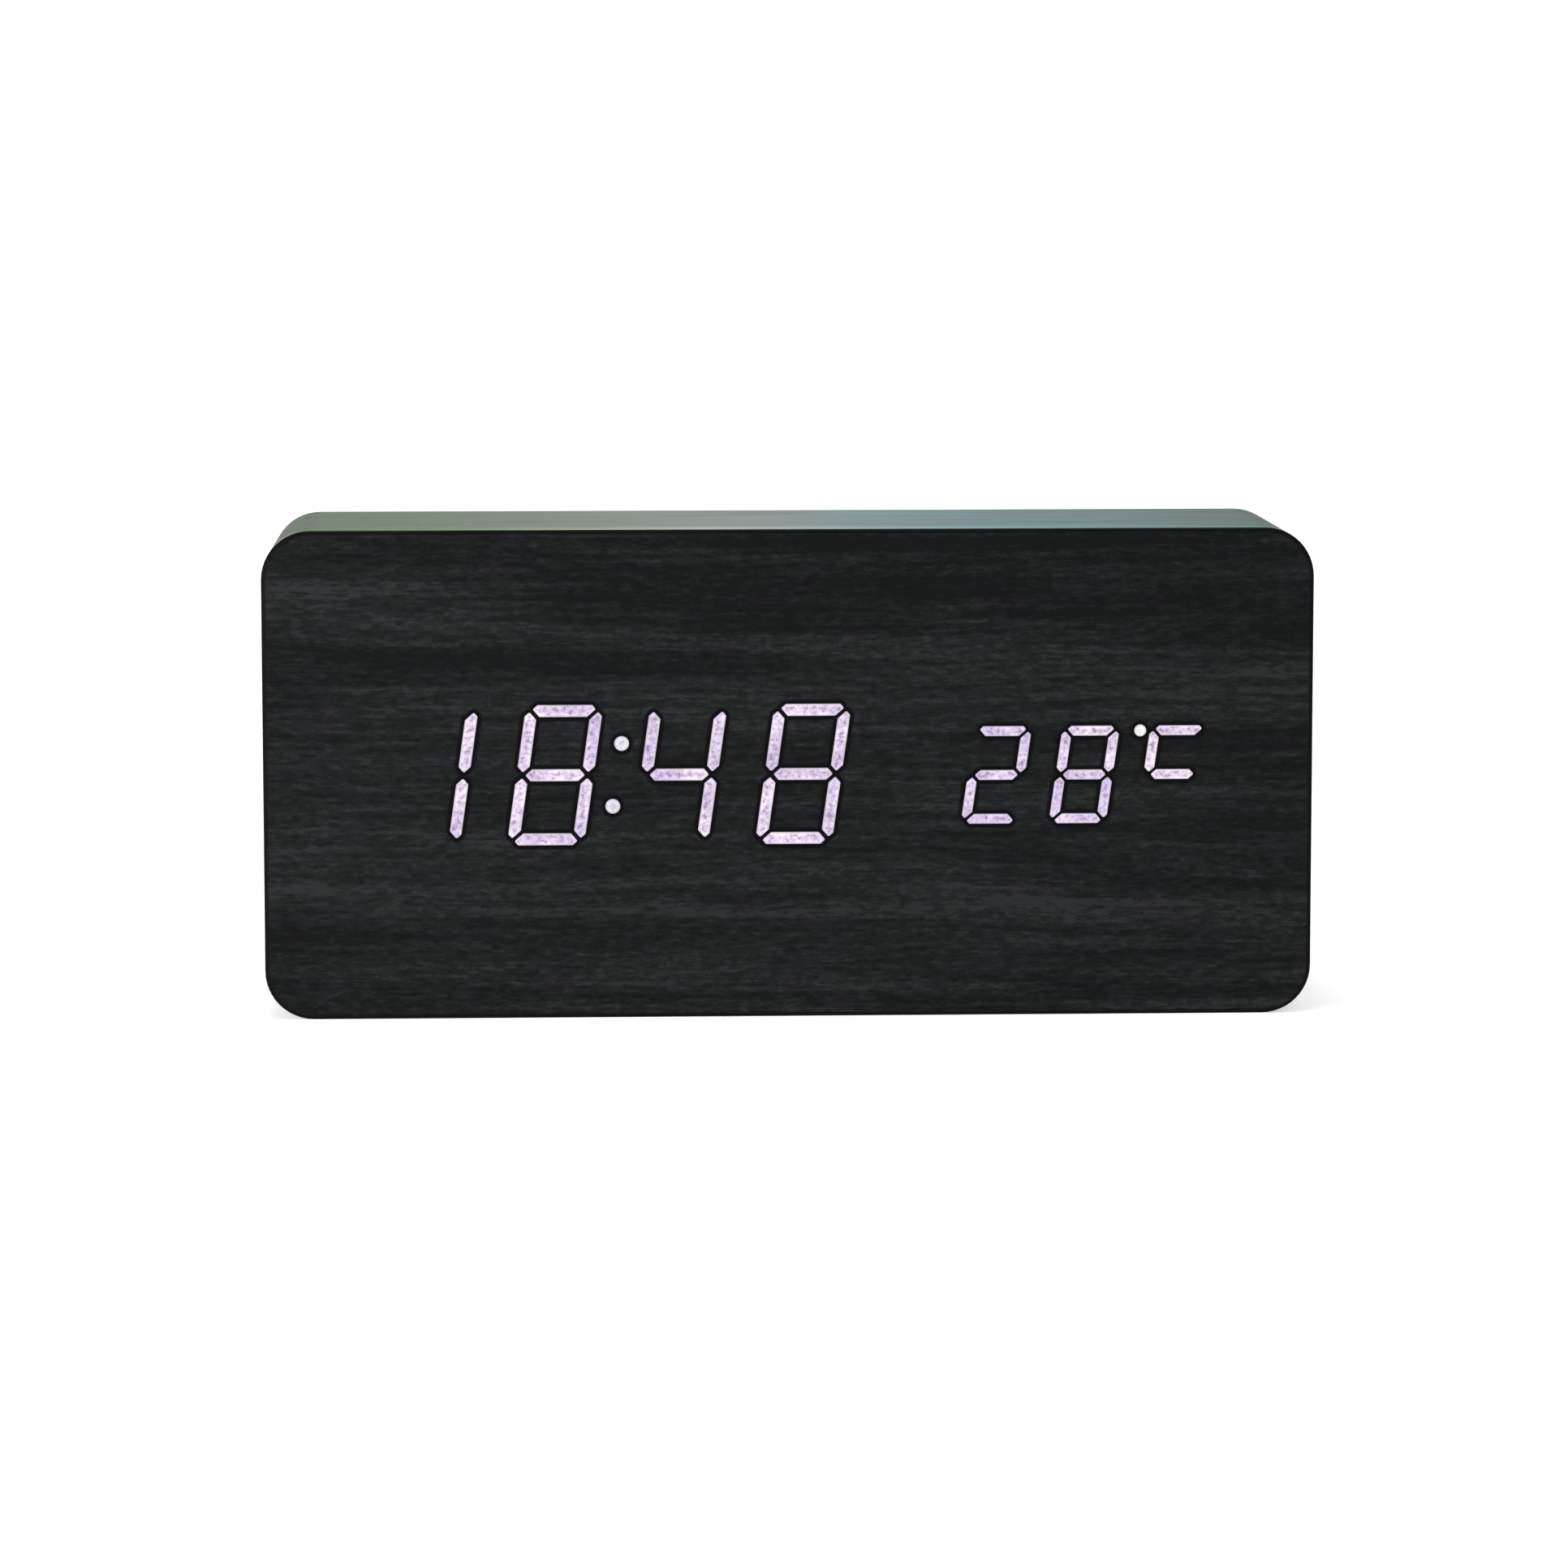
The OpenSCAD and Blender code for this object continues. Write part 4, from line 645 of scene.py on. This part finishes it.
# small parts of plastic and bare metal: tones, roughness, grain size, depth and edge in mm, rise of the metal
chipLook = {
    "legTop": -8.54 * mm,
    "tones": (tone(30, 31, 33), tone(44, 45, 47)), "metal": tone(196, 196, 198),
    "rough": (0.42, 0.6), "grain": 0.12, "depth": 0.006, "edge": 0.08, "rise": 0.0,
}
resistorLook = {
    "row": 47 * mm, "half": 0.62 * mm,
    "tones": (tone(34, 33, 32), tone(52, 50, 48)), "metal": tone(190, 190, 192),
    "rough": (0.3, 0.5), "grain": 0.1, "depth": 0.004, "edge": 0.08, "rise": 0.0,
}
tongueLook = {
    "x": -43.5 * mm, "pitch": 0.65 * mm, "strip": 0.13 * mm, "reach": 2.5, "from": 12.9 * mm,
    "tones": (tone(20, 20, 21), tone(30, 30, 31)), "metal": tone(212, 172, 92),
    "rough": (0.28, 0.45), "grain": 0.1, "depth": 0.01, "edge": 0.06, "rise": 2.0,
}


def chipLegs(tree, axis):
    return calc(tree, "LESS_THAN", axis["Y"], chipLook["legTop"])


def resistorCaps(tree, axis):
    return calc(tree, "SUBTRACT", 1.0, within(tree, axis["Z"], resistorLook["row"], resistorLook["half"]))


def tongueStrips(tree, axis):  # gold strips along the tongue of the power socket
    look, pitch = tongueLook, tongueLook["pitch"]
    side = calc(tree, "SUBTRACT", axis["X"], look["x"])
    step = calc(tree, "WRAP", side, pitch / 2, -pitch / 2)
    return times(tree, within(tree, step, 0.0, look["strip"]), within(tree, side, 0.0, look["reach"] * pitch),
                 calc(tree, "GREATER_THAN", axis["Y"], look["from"]))


def makeMixed(name, look, metalMask):
    material, tree, shader, place, axis = newFinish(name)
    metal = metalMask(tree, axis)
    mould = useGroup(tree, mouldGrain, Place=place, Size=look["grain"])
    height = calc(tree, "MULTIPLY_ADD", metal, look["rise"], mould["Height"])
    feed(tree, shader,
         Base_Color=mixColour(tree, metal, mixColour(tree, mould["Shade"], *look["tones"]), look["metal"]),
         Metallic=metal,
         Roughness=spread(tree, mould["Shade"], *look["rough"]),
         Normal=bump(tree, height, look["depth"] * mm, softEdge(tree, look["edge"] * mm)))
    return material


# cell jacket, by share of the length: steel ends, a plain grey sleeve and a darker band at the tip end
sleeveLook = {
    "sleeved": (0.018, 0.968), "band": 0.74, "lineHalf": 0.006, "ring": (0.9755, 0.979),
    "sleeve": tone(142, 146, 146), "bandTone": tone(74, 78, 82), "line": tone(212, 212, 208),
    "steel": (tone(160, 161, 164), tone(188, 189, 192)), "plastic": tone(224, 222, 214),
    "run": (500.0, 7000.0, 7000.0), "rough": (0.22, 0.36), "depth": 0.0015 * mm,
}


def makeSleeve():
    look = sleeveLook
    material, tree, shader, place, _ = newFinish("cellSleeve")
    along = put(tree, "ShaderNodeAttribute", attribute_name="along").outputs["Fac"]
    sleeved, ring = between(tree, along, *look["sleeved"]), between(tree, along, *look["ring"])
    banded = calc(tree, "GREATER_THAN", along, look["band"])
    lined = within(tree, along, look["band"], look["lineHalf"])
    marks = useGroup(tree, metalMarks, Place=place, Run=look["run"])
    steel = mixColour(tree, marks["Shade"], *look["steel"])
    colour = mixColour(tree, banded, look["sleeve"], look["bandTone"])
    colour = mixColour(tree, lined, colour, look["line"])
    colour = mixColour(tree, sleeved, steel, colour)
    feed(tree, shader,
         Base_Color=mixColour(tree, ring, colour, look["plastic"]),
         Metallic=times(tree, calc(tree, "SUBTRACT", 1.0, sleeved), calc(tree, "SUBTRACT", 1.0, ring)),
         Roughness=spread(tree, marks["Dull"], *look["rough"]),
         Normal=bump(tree, marks["Height"], look["depth"]))
    return material


finishes = {
    "grainFilm": makeGrainFilm(),
    "wrappedWood": makeWrappedWood(),
    "board": makeBoard(),
    "chip": makeMixed("chipBody", chipLook, chipLegs),
    "resistor": makeMixed("resistorBody", resistorLook, resistorCaps),
    "tongue": makeMixed("socketTongue", tongueLook, tongueStrips),
    "cellSleeve": makeSleeve(),
}
for finishName in ("litFigure", "litDot", "litDegree"):
    finishes[finishName] = makeLit(finishName)
for finishName, look in plastics.items():
    finishes[finishName] = makePlastic(finishName, *look)
for finishName, look in metals.items():
    finishes[finishName] = makeMetal(finishName, *look)
for buttonNode in buttonLook["z"]:
    finishes[buttonNode] = makeButton(buttonNode)
print("%d finishes made" % len(finishes))

nodeFinish = {
    "case_shell": "wrappedWood", "front_film": "grainFilm", "segment_mask": "maskPlastic",
    "dark_segments": "milkyGuide", "display_board": "board", "segment_leds": "lightSource",
    "display_screws": "zincScrew", "controller_chip": "chip", "driver_chips": "chip",
    "board_resistors": "resistor", "timing_crystal": "drawnCan", "backup_holder": "holderPlastic",
    "backup_cell": "coinSteel", "backup_clip": "contactNickel", "display_connector": "ivoryNylon",
    "control_connector": "ivoryNylon", "control_board": "board", "control_board_screws": "zincScrew",
    "switch_bases": "switchPlastic", "switch_lids": "drawnCan", "buzzer": "buzzerPlastic",
    "microphone": "drawnCan", "temperature_sensor": "beadEpoxy", "usb_shell": "socketSteel",
    "usb_tongue": "tongue", "rear_cover": "coverPlastic", "contact_plates": "contactNickel",
    "battery_door": "doorPlastic", "door_latch": "doorPlastic", "set_button": "set_button",
    "up_button": "up_button", "down_button": "down_button", "set_plunger": "plungerPlastic",
    "up_plunger": "plungerPlastic", "down_plunger": "plungerPlastic",
}
for nodeName, finishName in nodeFinish.items():
    mesh = cadNodes[nodeName].data
    mesh.materials.clear()
    mesh.materials.append(finishes[finishName])
print("finishes on %d nodes" % len(nodeFinish))


def newPiece(name, mesh, standsFor, sharpAngle):
    piece = newObject(name, mesh)
    mesh.polygons.foreach_set("use_smooth", [True] * len(mesh.polygons))
    mesh.set_sharp_from_angle(angle=math.radians(sharpAngle))
    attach(piece, "clock_body")
    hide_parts(standsFor)


def closeUp(work, loops):  # walls between rings of points, with a lid at each end
    work.faces.new(loops[0])
    work.faces.new(loops[-1])
    for outer, inner in zip(loops, loops[1:]):
        for k in range(len(outer)):
            after = (k + 1) % len(outer)
            work.faces.new((outer[k], outer[after], inner[after], inner[k]))


def pourInto(mesh, work):
    bmesh.ops.recalc_face_normals(work, faces=work.faces)
    work.to_mesh(mesh)
    work.free()
    return mesh


# lit figures: each CAD outline drawn in by a hair, with rounded corners and rings towards its spine for the
# change of glow
figureLook = {
    "gap": 0.03 * mm, "corner": 0.22 * mm, "cornerSteps": 4, "leastTurn": 25,
    # share of the way to the spine, how far behind the face, how deep in the glow
    "rings": [(0.0, 0.03 * mm, -1.0), (0.035, 0.0, -0.4), (0.36, 0.0, 0.0), (0.72, 0.0, 1.0)],
    "weld": 1e-7, "flatAngle": 1, "facing": -0.9,  # to find the front outlines of the CAD node
    "pieces": [("timeFigures", "time_segments", "litFigure"), ("colonDots", "colon_dots", "litDot"),
               ("temperatureFigures", "temperature_segments", "litFigure"),
               ("degreeDot", "degree_dot", "litDegree")],
    "sharpAngle": 25,
}


def bends(outline):  # each point with the directions of its two edges
    for i, here in enumerate(outline):
        after = outline[(i + 1) % len(outline)]
        yield here, (here - outline[i - 1]).normalized(), (after - here).normalized()


def leftOf(way):
    return Vector((-way.y, way.x))


def drawIn(outline, gap):  # a convex outline, anticlockwise, moved inwards
    return [here + (leftOf(first) + leftOf(second)) * gap / (1 + leftOf(first).dot(leftOf(second)))
            for here, first, second in bends(outline)]


def roundOff(outline, radius, steps):
    eased = []
    for here, first, second in bends(outline):
        turn = first.angle(second)
        if turn < math.radians(figureLook["leastTurn"]):
            eased.append(here)
            continue
        reach = radius * math.tan(turn / 2)
        middle = here - first * reach + leftOf(first) * radius
        spoke = here - first * reach - middle
        eased += [middle + Matrix.Rotation(turn * k / steps, 2) @ spoke for k in range(steps + 1)]
    return eased


def spinePoints(outline):  # for each point of an outline, the nearest one on its middle line
    ahead = max((b - a for a, b in zip(outline, outline[1:])), key=lambda edge: edge.length).normalized()
    aside = leftOf(ahead)
    along, across = [p.dot(ahead) for p in outline], [p.dot(aside) for p in outline]
    half = (max(across) - min(across)) / 2
    start, end = min(along) + half, max(along) - half
    if start > end:
        start = end = (start + end) / 2
    middle = aside * (min(across) + half)
    return [middle + ahead * min(max(a, start), end) for a in along]


def frontOutlines(node):
    work = bmesh.new()
    work.from_mesh(cadNodes[node].data)
    bmesh.ops.remove_doubles(work, verts=work.verts, dist=figureLook["weld"])
    bmesh.ops.dissolve_limit(work, angle_limit=math.radians(figureLook["flatAngle"]), verts=work.verts,
                             edges=work.edges)
    found = []
    for face in work.faces:
        if face.normal.y <= figureLook["facing"]:
            outline = [Vector((v.co.x, v.co.z)) for v in face.verts]
            area = sum(a.x * b.y - b.x * a.y for a, b in zip(outline, outline[1:] + outline[:1]))
            found.append(outline if area > 0 else outline[::-1])
    work.free()
    return found


def makeFigures(name, node, finish):
    low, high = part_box(node)
    work = bmesh.new()
    core = work.verts.layers.float.new("core")
    for outline in frontOutlines(node):
        outline = drawIn(outline, figureLook["gap"])
        outline = roundOff(outline, figureLook["corner"], figureLook["cornerSteps"])
        spine = spinePoints(outline)
        loops = []
        for share, back, value in [(0.0, high.y - low.y, -1.0)] + figureLook["rings"]:
            ring = [p.lerp(s, share) for p, s in zip(outline, spine)]
            loops.append([work.verts.new((p.x, low.y + back, p.y)) for p in ring])
            for vert in loops[-1]:
                vert[core] = value
        closeUp(work, loops)
    mesh = pourInto(bpy.data.meshes.new(name), work)
    mesh.materials.append(finishes[finish])
    newPiece(name, mesh, node, figureLook["sharpAngle"])


for figureRow in figureLook["pieces"]:
    makeFigures(*figureRow)
print("lit figures made")


# geometry trees: named number inputs, one mesh out
def newTree(name, sizes):
    tree = bpy.data.node_groups.new(name, "GeometryNodeTree")
    tree.interface.new_socket("Geometry", in_out="INPUT", socket_type="NodeSocketGeometry")
    tree.interface.new_socket("Geometry", in_out="OUTPUT", socket_type="NodeSocketGeometry")
    for label, value in sizes.items():
        kind = "NodeSocketInt" if isinstance(value, int) else "NodeSocketFloat"
        tree.interface.new_socket(label, in_out="INPUT", socket_type=kind).default_value = value
    return tree, tree.nodes.new("NodeGroupInput").outputs


def closeTree(tree, geometry, finish):
    whole = put(tree, "GeometryNodeRealizeInstances", {0: geometry}).outputs[0]
    dressed = put(tree, "GeometryNodeSetMaterial", {"Geometry": whole, "Material": finishes[finish]})
    put(tree, "NodeGroupOutput", {"Geometry": dressed.outputs[0]})


def plainMesh(thing):
    return bpy.data.meshes.new_from_object(thing.evaluated_get(bpy.context.evaluated_depsgraph_get()))


def runTree(name, tree, sizes, start=None):
    holder = newObject(name + "Seed", start or bpy.data.meshes.new(name + "Seed"))
    modifier = holder.modifiers.new("build", "NODES")
    modifier.node_group = tree
    for item in tree.interface.items_tree:
        if item.in_out == "INPUT" and item.name in sizes:
            modifier[item.identifier] = sizes[item.name]
    made = plainMesh(holder)
    made.name = name
    holder.modifiers.remove(modifier)
    bpy.data.objects.remove(holder)
    return made


def shapeOf(tree, thing):
    return put(tree, "GeometryNodeObjectInfo", {0: thing}).outputs["Geometry"]


def lineOf(tree, count, start, offset):
    return put(tree, "GeometryNodeMeshLine",
               {"Count": count, "Start Location": start, "Offset": offset}).outputs[0]


def onPoints(tree, points, shape, rotation=(0, 0, 0)):
    return put(tree, "GeometryNodeInstanceOnPoints",
               {"Points": points, "Instance": shape, "Rotation": rotation}).outputs[0]


def easedRoute(tree, given):  # the drawn line with rounded bends
    path = put(tree, "GeometryNodeMeshToCurve", {0: given["Geometry"]}).outputs[0]
    return put(tree, "GeometryNodeFilletCurve", {"Curve": path, "Radius": given["Bend"],
                                                 "Count": given["Steps"]}, mode="POLY").outputs[0]


def circle(tree, sides, radius):
    return put(tree, "GeometryNodeCurvePrimitiveCircle", {"Resolution": sides, "Radius": radius}).outputs[0]


def sweep(tree, path, profile):
    return put(tree, "GeometryNodeCurveToMesh", {"Curve": path, "Profile Curve": profile,
                                                 "Fill Caps": True}).outputs[0]


def polyline(name, points):
    mesh = bpy.data.meshes.new(name)
    edges = [(i, i + 1) for i in range(len(points) - 1)]
    mesh.from_pydata([[v * mm for v in p] for p in points], edges, [])
    return mesh


# turns a list of (along, radius) in mm into a closed round solid about +X, with the share of the length on
# each point
def lathe(name, profile, sides, length):
    rings, verts, faces = [], [], []
    for along, radius in profile:
        count = 1 if radius == 0 else sides
        rings.append(range(len(verts), len(verts) + count))
        for k in range(count):
            turn = 2 * math.pi * k / sides
            verts.append((along * mm, radius * mm * math.cos(turn), radius * mm * math.sin(turn)))
    for low, high in zip(rings, rings[1:]):
        for k in range(sides):
            quad = [low[k % len(low)], high[k % len(high)],
                    high[(k + 1) % len(high)], low[(k + 1) % len(low)]]
            faces.append(list(dict.fromkeys(quad)))
    mesh = bpy.data.meshes.new(name)
    mesh.from_pydata(verts, [], faces)
    share = mesh.attributes.new("along", "FLOAT", "POINT")
    share.data.foreach_set("value", [v[0] / (length * mm) for v in verts])
    work = bmesh.new()
    work.from_mesh(mesh)
    return pourInto(mesh, work)


# battery cells: rolled ends, an insulating ring and a drawn tip, head to tail in the bay (mm)
cellShape = {
    "profile": [
        (0.18, 0), (0.18, 3.5), (0.0, 3.8), (0.0, 4.5), (0.12, 4.95), (0.5, 5.2), (0.8, 5.25), (10, 5.25),
        (20, 5.25), (32.9, 5.25), (33.2, 5.25), (42.8, 5.25), (43.05, 5.18), (43.2, 4.95), (43.3, 4.6),
        (43.42, 4.2), (43.45, 2.3), (43.3, 2.1), (43.3, 1.95), (43.5, 1.9), (44.2, 1.9), (44.42, 1.8),
        (44.5, 1.55), (44.5, 0)],
    "sides": 48, "length": 44.5, "count": 3, "sharpAngle": 30,
}


def baySizes(left, right):
    low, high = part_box("battery_cells")
    width, count = high.y - low.y, cellShape["count"]
    return {"Count": count, "Pitch": (high.z - low.z - width) / (count - 1), "Depth": (low.y + high.y) / 2,
            "Foot": low.z + width / 2, "Left": left, "Right": right}


def bayPoints(tree, given):  # a point for each cell, from the foot up, at the right and the left in turn
    row = lineOf(tree, given["Count"], triple(tree, 0.0, given["Depth"], given["Foot"]),
                 triple(tree, z=given["Pitch"]))
    odd = calc(tree, "MODULO", put(tree, "GeometryNodeInputIndex").outputs[0], 2.0)
    side = put(tree, "ShaderNodeMix", {0: odd, 2: given["Right"], 3: given["Left"]}).outputs[0]
    placed = put(tree, "GeometryNodeSetPosition", {"Geometry": row, "Offset": triple(tree, side)})
    return placed.outputs[0], odd


def makeCells():
    low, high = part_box("battery_cells")
    sizes = baySizes(low.x, high.x)
    profile, sides, length = cellShape["profile"], cellShape["sides"], cellShape["length"]
    cell = newObject("cellShape", lathe("cellShape", profile, sides, length))
    tree, given = newTree("cellRow", sizes)
    points, odd = bayPoints(tree, given)
    turn = times(tree, calc(tree, "SUBTRACT", 1.0, odd), math.pi)  # even cells point left, odd ones right
    cells = onPoints(tree, points, shapeOf(tree, cell), triple(tree, z=turn))
    closeTree(tree, cells, "cellSleeve")
    mesh = runTree("batteryCells", tree, sizes)
    bpy.data.objects.remove(cell)
    newPiece("batteryCells", mesh, "battery_cells", cellShape["sharpAngle"])


# conical contact coils, base on the plate and small end on the cell (mm)
coilShape = {
    "turns": 3.0, "stepsPerTurn": 32, "wire": 0.6, "base": 3.1, "end": 1.9, "length": 4.0, "sides": 12,
    "sharpAngle": 60,
}


def makeCoils():
    low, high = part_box("spring_coils")
    wire = coilShape["wire"] * mm
    sizes = baySizes(low.x + wire / 2, high.x - wire / 2)
    sizes.update({"Turns": coilShape["turns"], "Wire": wire, "Base": coilShape["base"] * mm,
                  "End": coilShape["end"] * mm, "Length": coilShape["length"] * mm - wire})
    tree, given = newTree("coilRow", sizes)
    spiral = put(tree, "GeometryNodeCurveSpiral", {
        "Resolution": coilShape["stepsPerTurn"], "Rotations": given["Turns"],
        "Start Radius": given["Base"], "End Radius": given["End"], "Height": given["Length"]}).outputs[0]
    wound = sweep(tree, spiral, circle(tree, coilShape["sides"], calc(tree, "DIVIDE", given["Wire"], 2.0)))
    points, odd = bayPoints(tree, given)
    lean = calc(tree, "MULTIPLY_ADD", odd, math.pi, -math.pi / 2)  # turns the axis from Z to the cell
    closeTree(tree, onPoints(tree, points, wound, triple(tree, y=lean)), "springWire")
    mesh = runTree("springCoils", tree, sizes)
    newPiece("springCoils", mesh, "spring_coils", coilShape["sharpAngle"])


# battery leads, from the contacts' tails to the control board (mm)
leadShape = {
    "thick": 1.2, "bend": 1.2, "bendSteps": 8, "sides": 16, "sharpAngle": 60,
    "red": [(-6.25, 7.65, 24), (-15.4, 7.65, 24), (-15.4, 9.6, 24)],
    "black": [(54.25, 7.65, 46), (56.65, 7.65, 46), (56.65, 7.65, 54.05), (-15.4, 7.65, 54.05),
              (-15.4, 9.6, 54.05)],
}


def makeLead(name, route, node, finish):
    sizes = {"Radius": leadShape["thick"] * mm / 2, "Bend": leadShape["bend"] * mm,
             "Steps": leadShape["bendSteps"], "Sides": leadShape["sides"]}
    tree, given = newTree(name + "Sweep", sizes)
    swept = sweep(tree, easedRoute(tree, given), circle(tree, given["Sides"], given["Radius"]))
    closeTree(tree, swept, finish)
    mesh = runTree(name, tree, sizes, polyline(name + "Path", route))
    newPiece(name, mesh, node, leadShape["sharpAngle"])


# flat cable of ten joined cores between the boards (mm)
ribbonShape = {
    "route": [(-46, -6.25, 0), (-46, 0.4, 0), (-36, 0.4, 0), (-36, 7.05, 0)], "bend": 3.2, "bendSteps": 12,
    "cores": 10, "thick": 0.9, "oval": 1.18, "sides": 12, "sharpAngle": 60,
}


def makeRibbon():
    low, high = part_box("ribbon_cable")
    thick, cores = ribbonShape["thick"] * mm, ribbonShape["cores"]
    sizes = {"Cores": cores, "Pitch": (high.z - low.z - thick) / (cores - 1), "Foot": low.z + thick / 2,
             "Radius": thick / 2, "Bend": ribbonShape["bend"] * mm, "Steps": ribbonShape["bendSteps"]}
    tree, given = newTree("ribbonSweep", sizes)
    ring = circle(tree, ribbonShape["sides"], given["Radius"])
    # stretched, so that neighbouring cores join
    oval = put(tree, "GeometryNodeTransform", {0: ring, "Scale": (1.0, ribbonShape["oval"], 1.0)}).outputs[0]
    row = lineOf(tree, given["Cores"], triple(tree, z=given["Foot"]),
                 triple(tree, z=given["Pitch"]))
    closeTree(tree, onPoints(tree, row, sweep(tree, easedRoute(tree, given), oval)), "ribbonSleeve")
    mesh = runTree("ribbonCable", tree, sizes, polyline("ribbonPath", ribbonShape["route"]))
    newPiece("ribbonCable", mesh, "ribbon_cable", ribbonShape["sharpAngle"])


# cover screws: domed heads with a tapered cross, and a coarse thread on the shank (mm)
screwShape = {
    "head": [(1.6, 0), (1.6, 0.5), (1.56, 1.0), (1.44, 1.55), (1.2, 2.05), (0.9, 2.36), (0.55, 2.5),
             (0.12, 2.5), (0.0, 2.4), (0.0, 1.3)],
    "shank": 11.0, "core": 1.02, "crest": 1.3, "pitch": 1.1, "tip": 1.6, "tipRadius": 0.25,
    "threadFrom": 0.25, "thread": (0.38, 0.62, 0.70),  # shares of the pitch: end of the core, crest from, to
    "crossTop": (3.0, 0.82), "crossFoot": (1.7, 0.5), "crossRise": 0.5, "crossDepth": 1.05,
    "sides": 40, "weld": 0.002, "turnSeed": 5, "sharpAngle": 40,
}
screwTop = screwShape["head"][0][0]
screwWidth = 2 * max(radius for _, radius in screwShape["head"])


def screwProfile():
    shape = screwShape
    core, crest, pitch, foot = shape["core"], shape["crest"], shape["pitch"], -shape["shank"]
    coreEnd, crestFrom, crestTo = (share * pitch for share in shape["thread"])
    points = list(shape["head"])
    depth = shape["threadFrom"]
    while depth < shape["shank"] - shape["tip"] - pitch:
        points += [(-depth, core), (-depth - coreEnd, core), (-depth - crestFrom, crest),
                   (-depth - crestTo, crest)]
        depth += pitch
    return points + [(-depth, core), (foot + shape["tip"], core), (foot, shape["tipRadius"]), (foot, 0)]


def crossCutter():
    shape, top = screwShape, screwTop
    work = bmesh.new()
    for turn in (0, math.pi / 2):
        spin = Matrix.Rotation(turn, 3, "X")
        loops = []
        for lift, (wide, thin) in ((top + shape["crossRise"], shape["crossTop"]), (top, shape["crossTop"]),
                                   (top - shape["crossDepth"], shape["crossFoot"])):
            corners = ((-1, -1), (1, -1), (1, 1), (-1, 1))
            loops.append([work.verts.new(spin @ Vector((lift, y * wide / 2, z * thin / 2)) * mm)
                          for y, z in corners])
        closeUp(work, loops)
    return newObject("screwCross", pourInto(bpy.data.meshes.new("screwCross"), work))


def makeScrew():
    screw = newObject("screwShape", lathe("screwShape", screwProfile(), screwShape["sides"],
                                          screwShape["shank"]))
    cross = crossCutter()
    cut = screw.modifiers.new("cross", "BOOLEAN")
    cut.object, cut.operation, cut.solver, cut.use_self = cross, "DIFFERENCE", "EXACT", True
    screw.data = plainMesh(screw)
    screw.modifiers.clear()
    bpy.data.objects.remove(cross)
    work = bmesh.new()
    work.from_mesh(screw.data)
    bmesh.ops.remove_doubles(work, verts=work.verts, dist=screwShape["weld"] * mm)
    bmesh.ops.dissolve_degenerate(work, edges=work.edges, dist=screwShape["weld"] * mm)
    work.to_mesh(screw.data)
    work.free()
    return screw


def makeScrews():
    screw = makeScrew()
    low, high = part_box("cover_screws")
    width = screwWidth * mm
    sizes = {"Wide": high.x - low.x - width, "High": high.z - low.z - width,
             "Seat": high.y - screwTop * mm, "Middle": (low.z + high.z) / 2}
    tree, given = newTree("screwCorners", sizes)
    grid = put(tree, "GeometryNodeMeshGrid", {"Size X": given["Wide"], "Size Y": given["High"],
                                              "Vertices X": 2, "Vertices Y": 2})
    stood = put(tree, "GeometryNodeTransform", {
        0: grid.outputs[0], "Rotation": (math.pi / 2, 0, 0),
        "Translation": triple(tree, 0.0, given["Seat"], given["Middle"])})
    # each screw stops at its own angle about the depth axis
    angle = put(tree, "FunctionNodeRandomValue", {2: 0.0, 3: math.pi / 2, "Seed": screwShape["turnSeed"]},
                data_type="FLOAT")
    turn = put(tree, "FunctionNodeRotateEuler", {
        "Rotation": (0, 0, math.pi / 2), "Axis": (0, 1, 0), "Angle": angle.outputs[1]},
        rotation_type="AXIS_ANGLE")
    closeTree(tree, onPoints(tree, stood.outputs[0], shapeOf(tree, screw), turn.outputs[0]), "blackScrew")
    mesh = runTree("coverScrews", tree, sizes)
    bpy.data.objects.remove(screw)
    newPiece("coverScrews", mesh, "cover_screws", screwShape["sharpAngle"])


makeCells()
makeCoils()
makeLead("redLead", leadShape["red"], "red_lead", "redSleeve")
makeLead("blackLead", leadShape["black"], "black_lead", "blackSleeve")
makeRibbon()
makeScrews()
print("cells, coils, leads, ribbon and screws made")
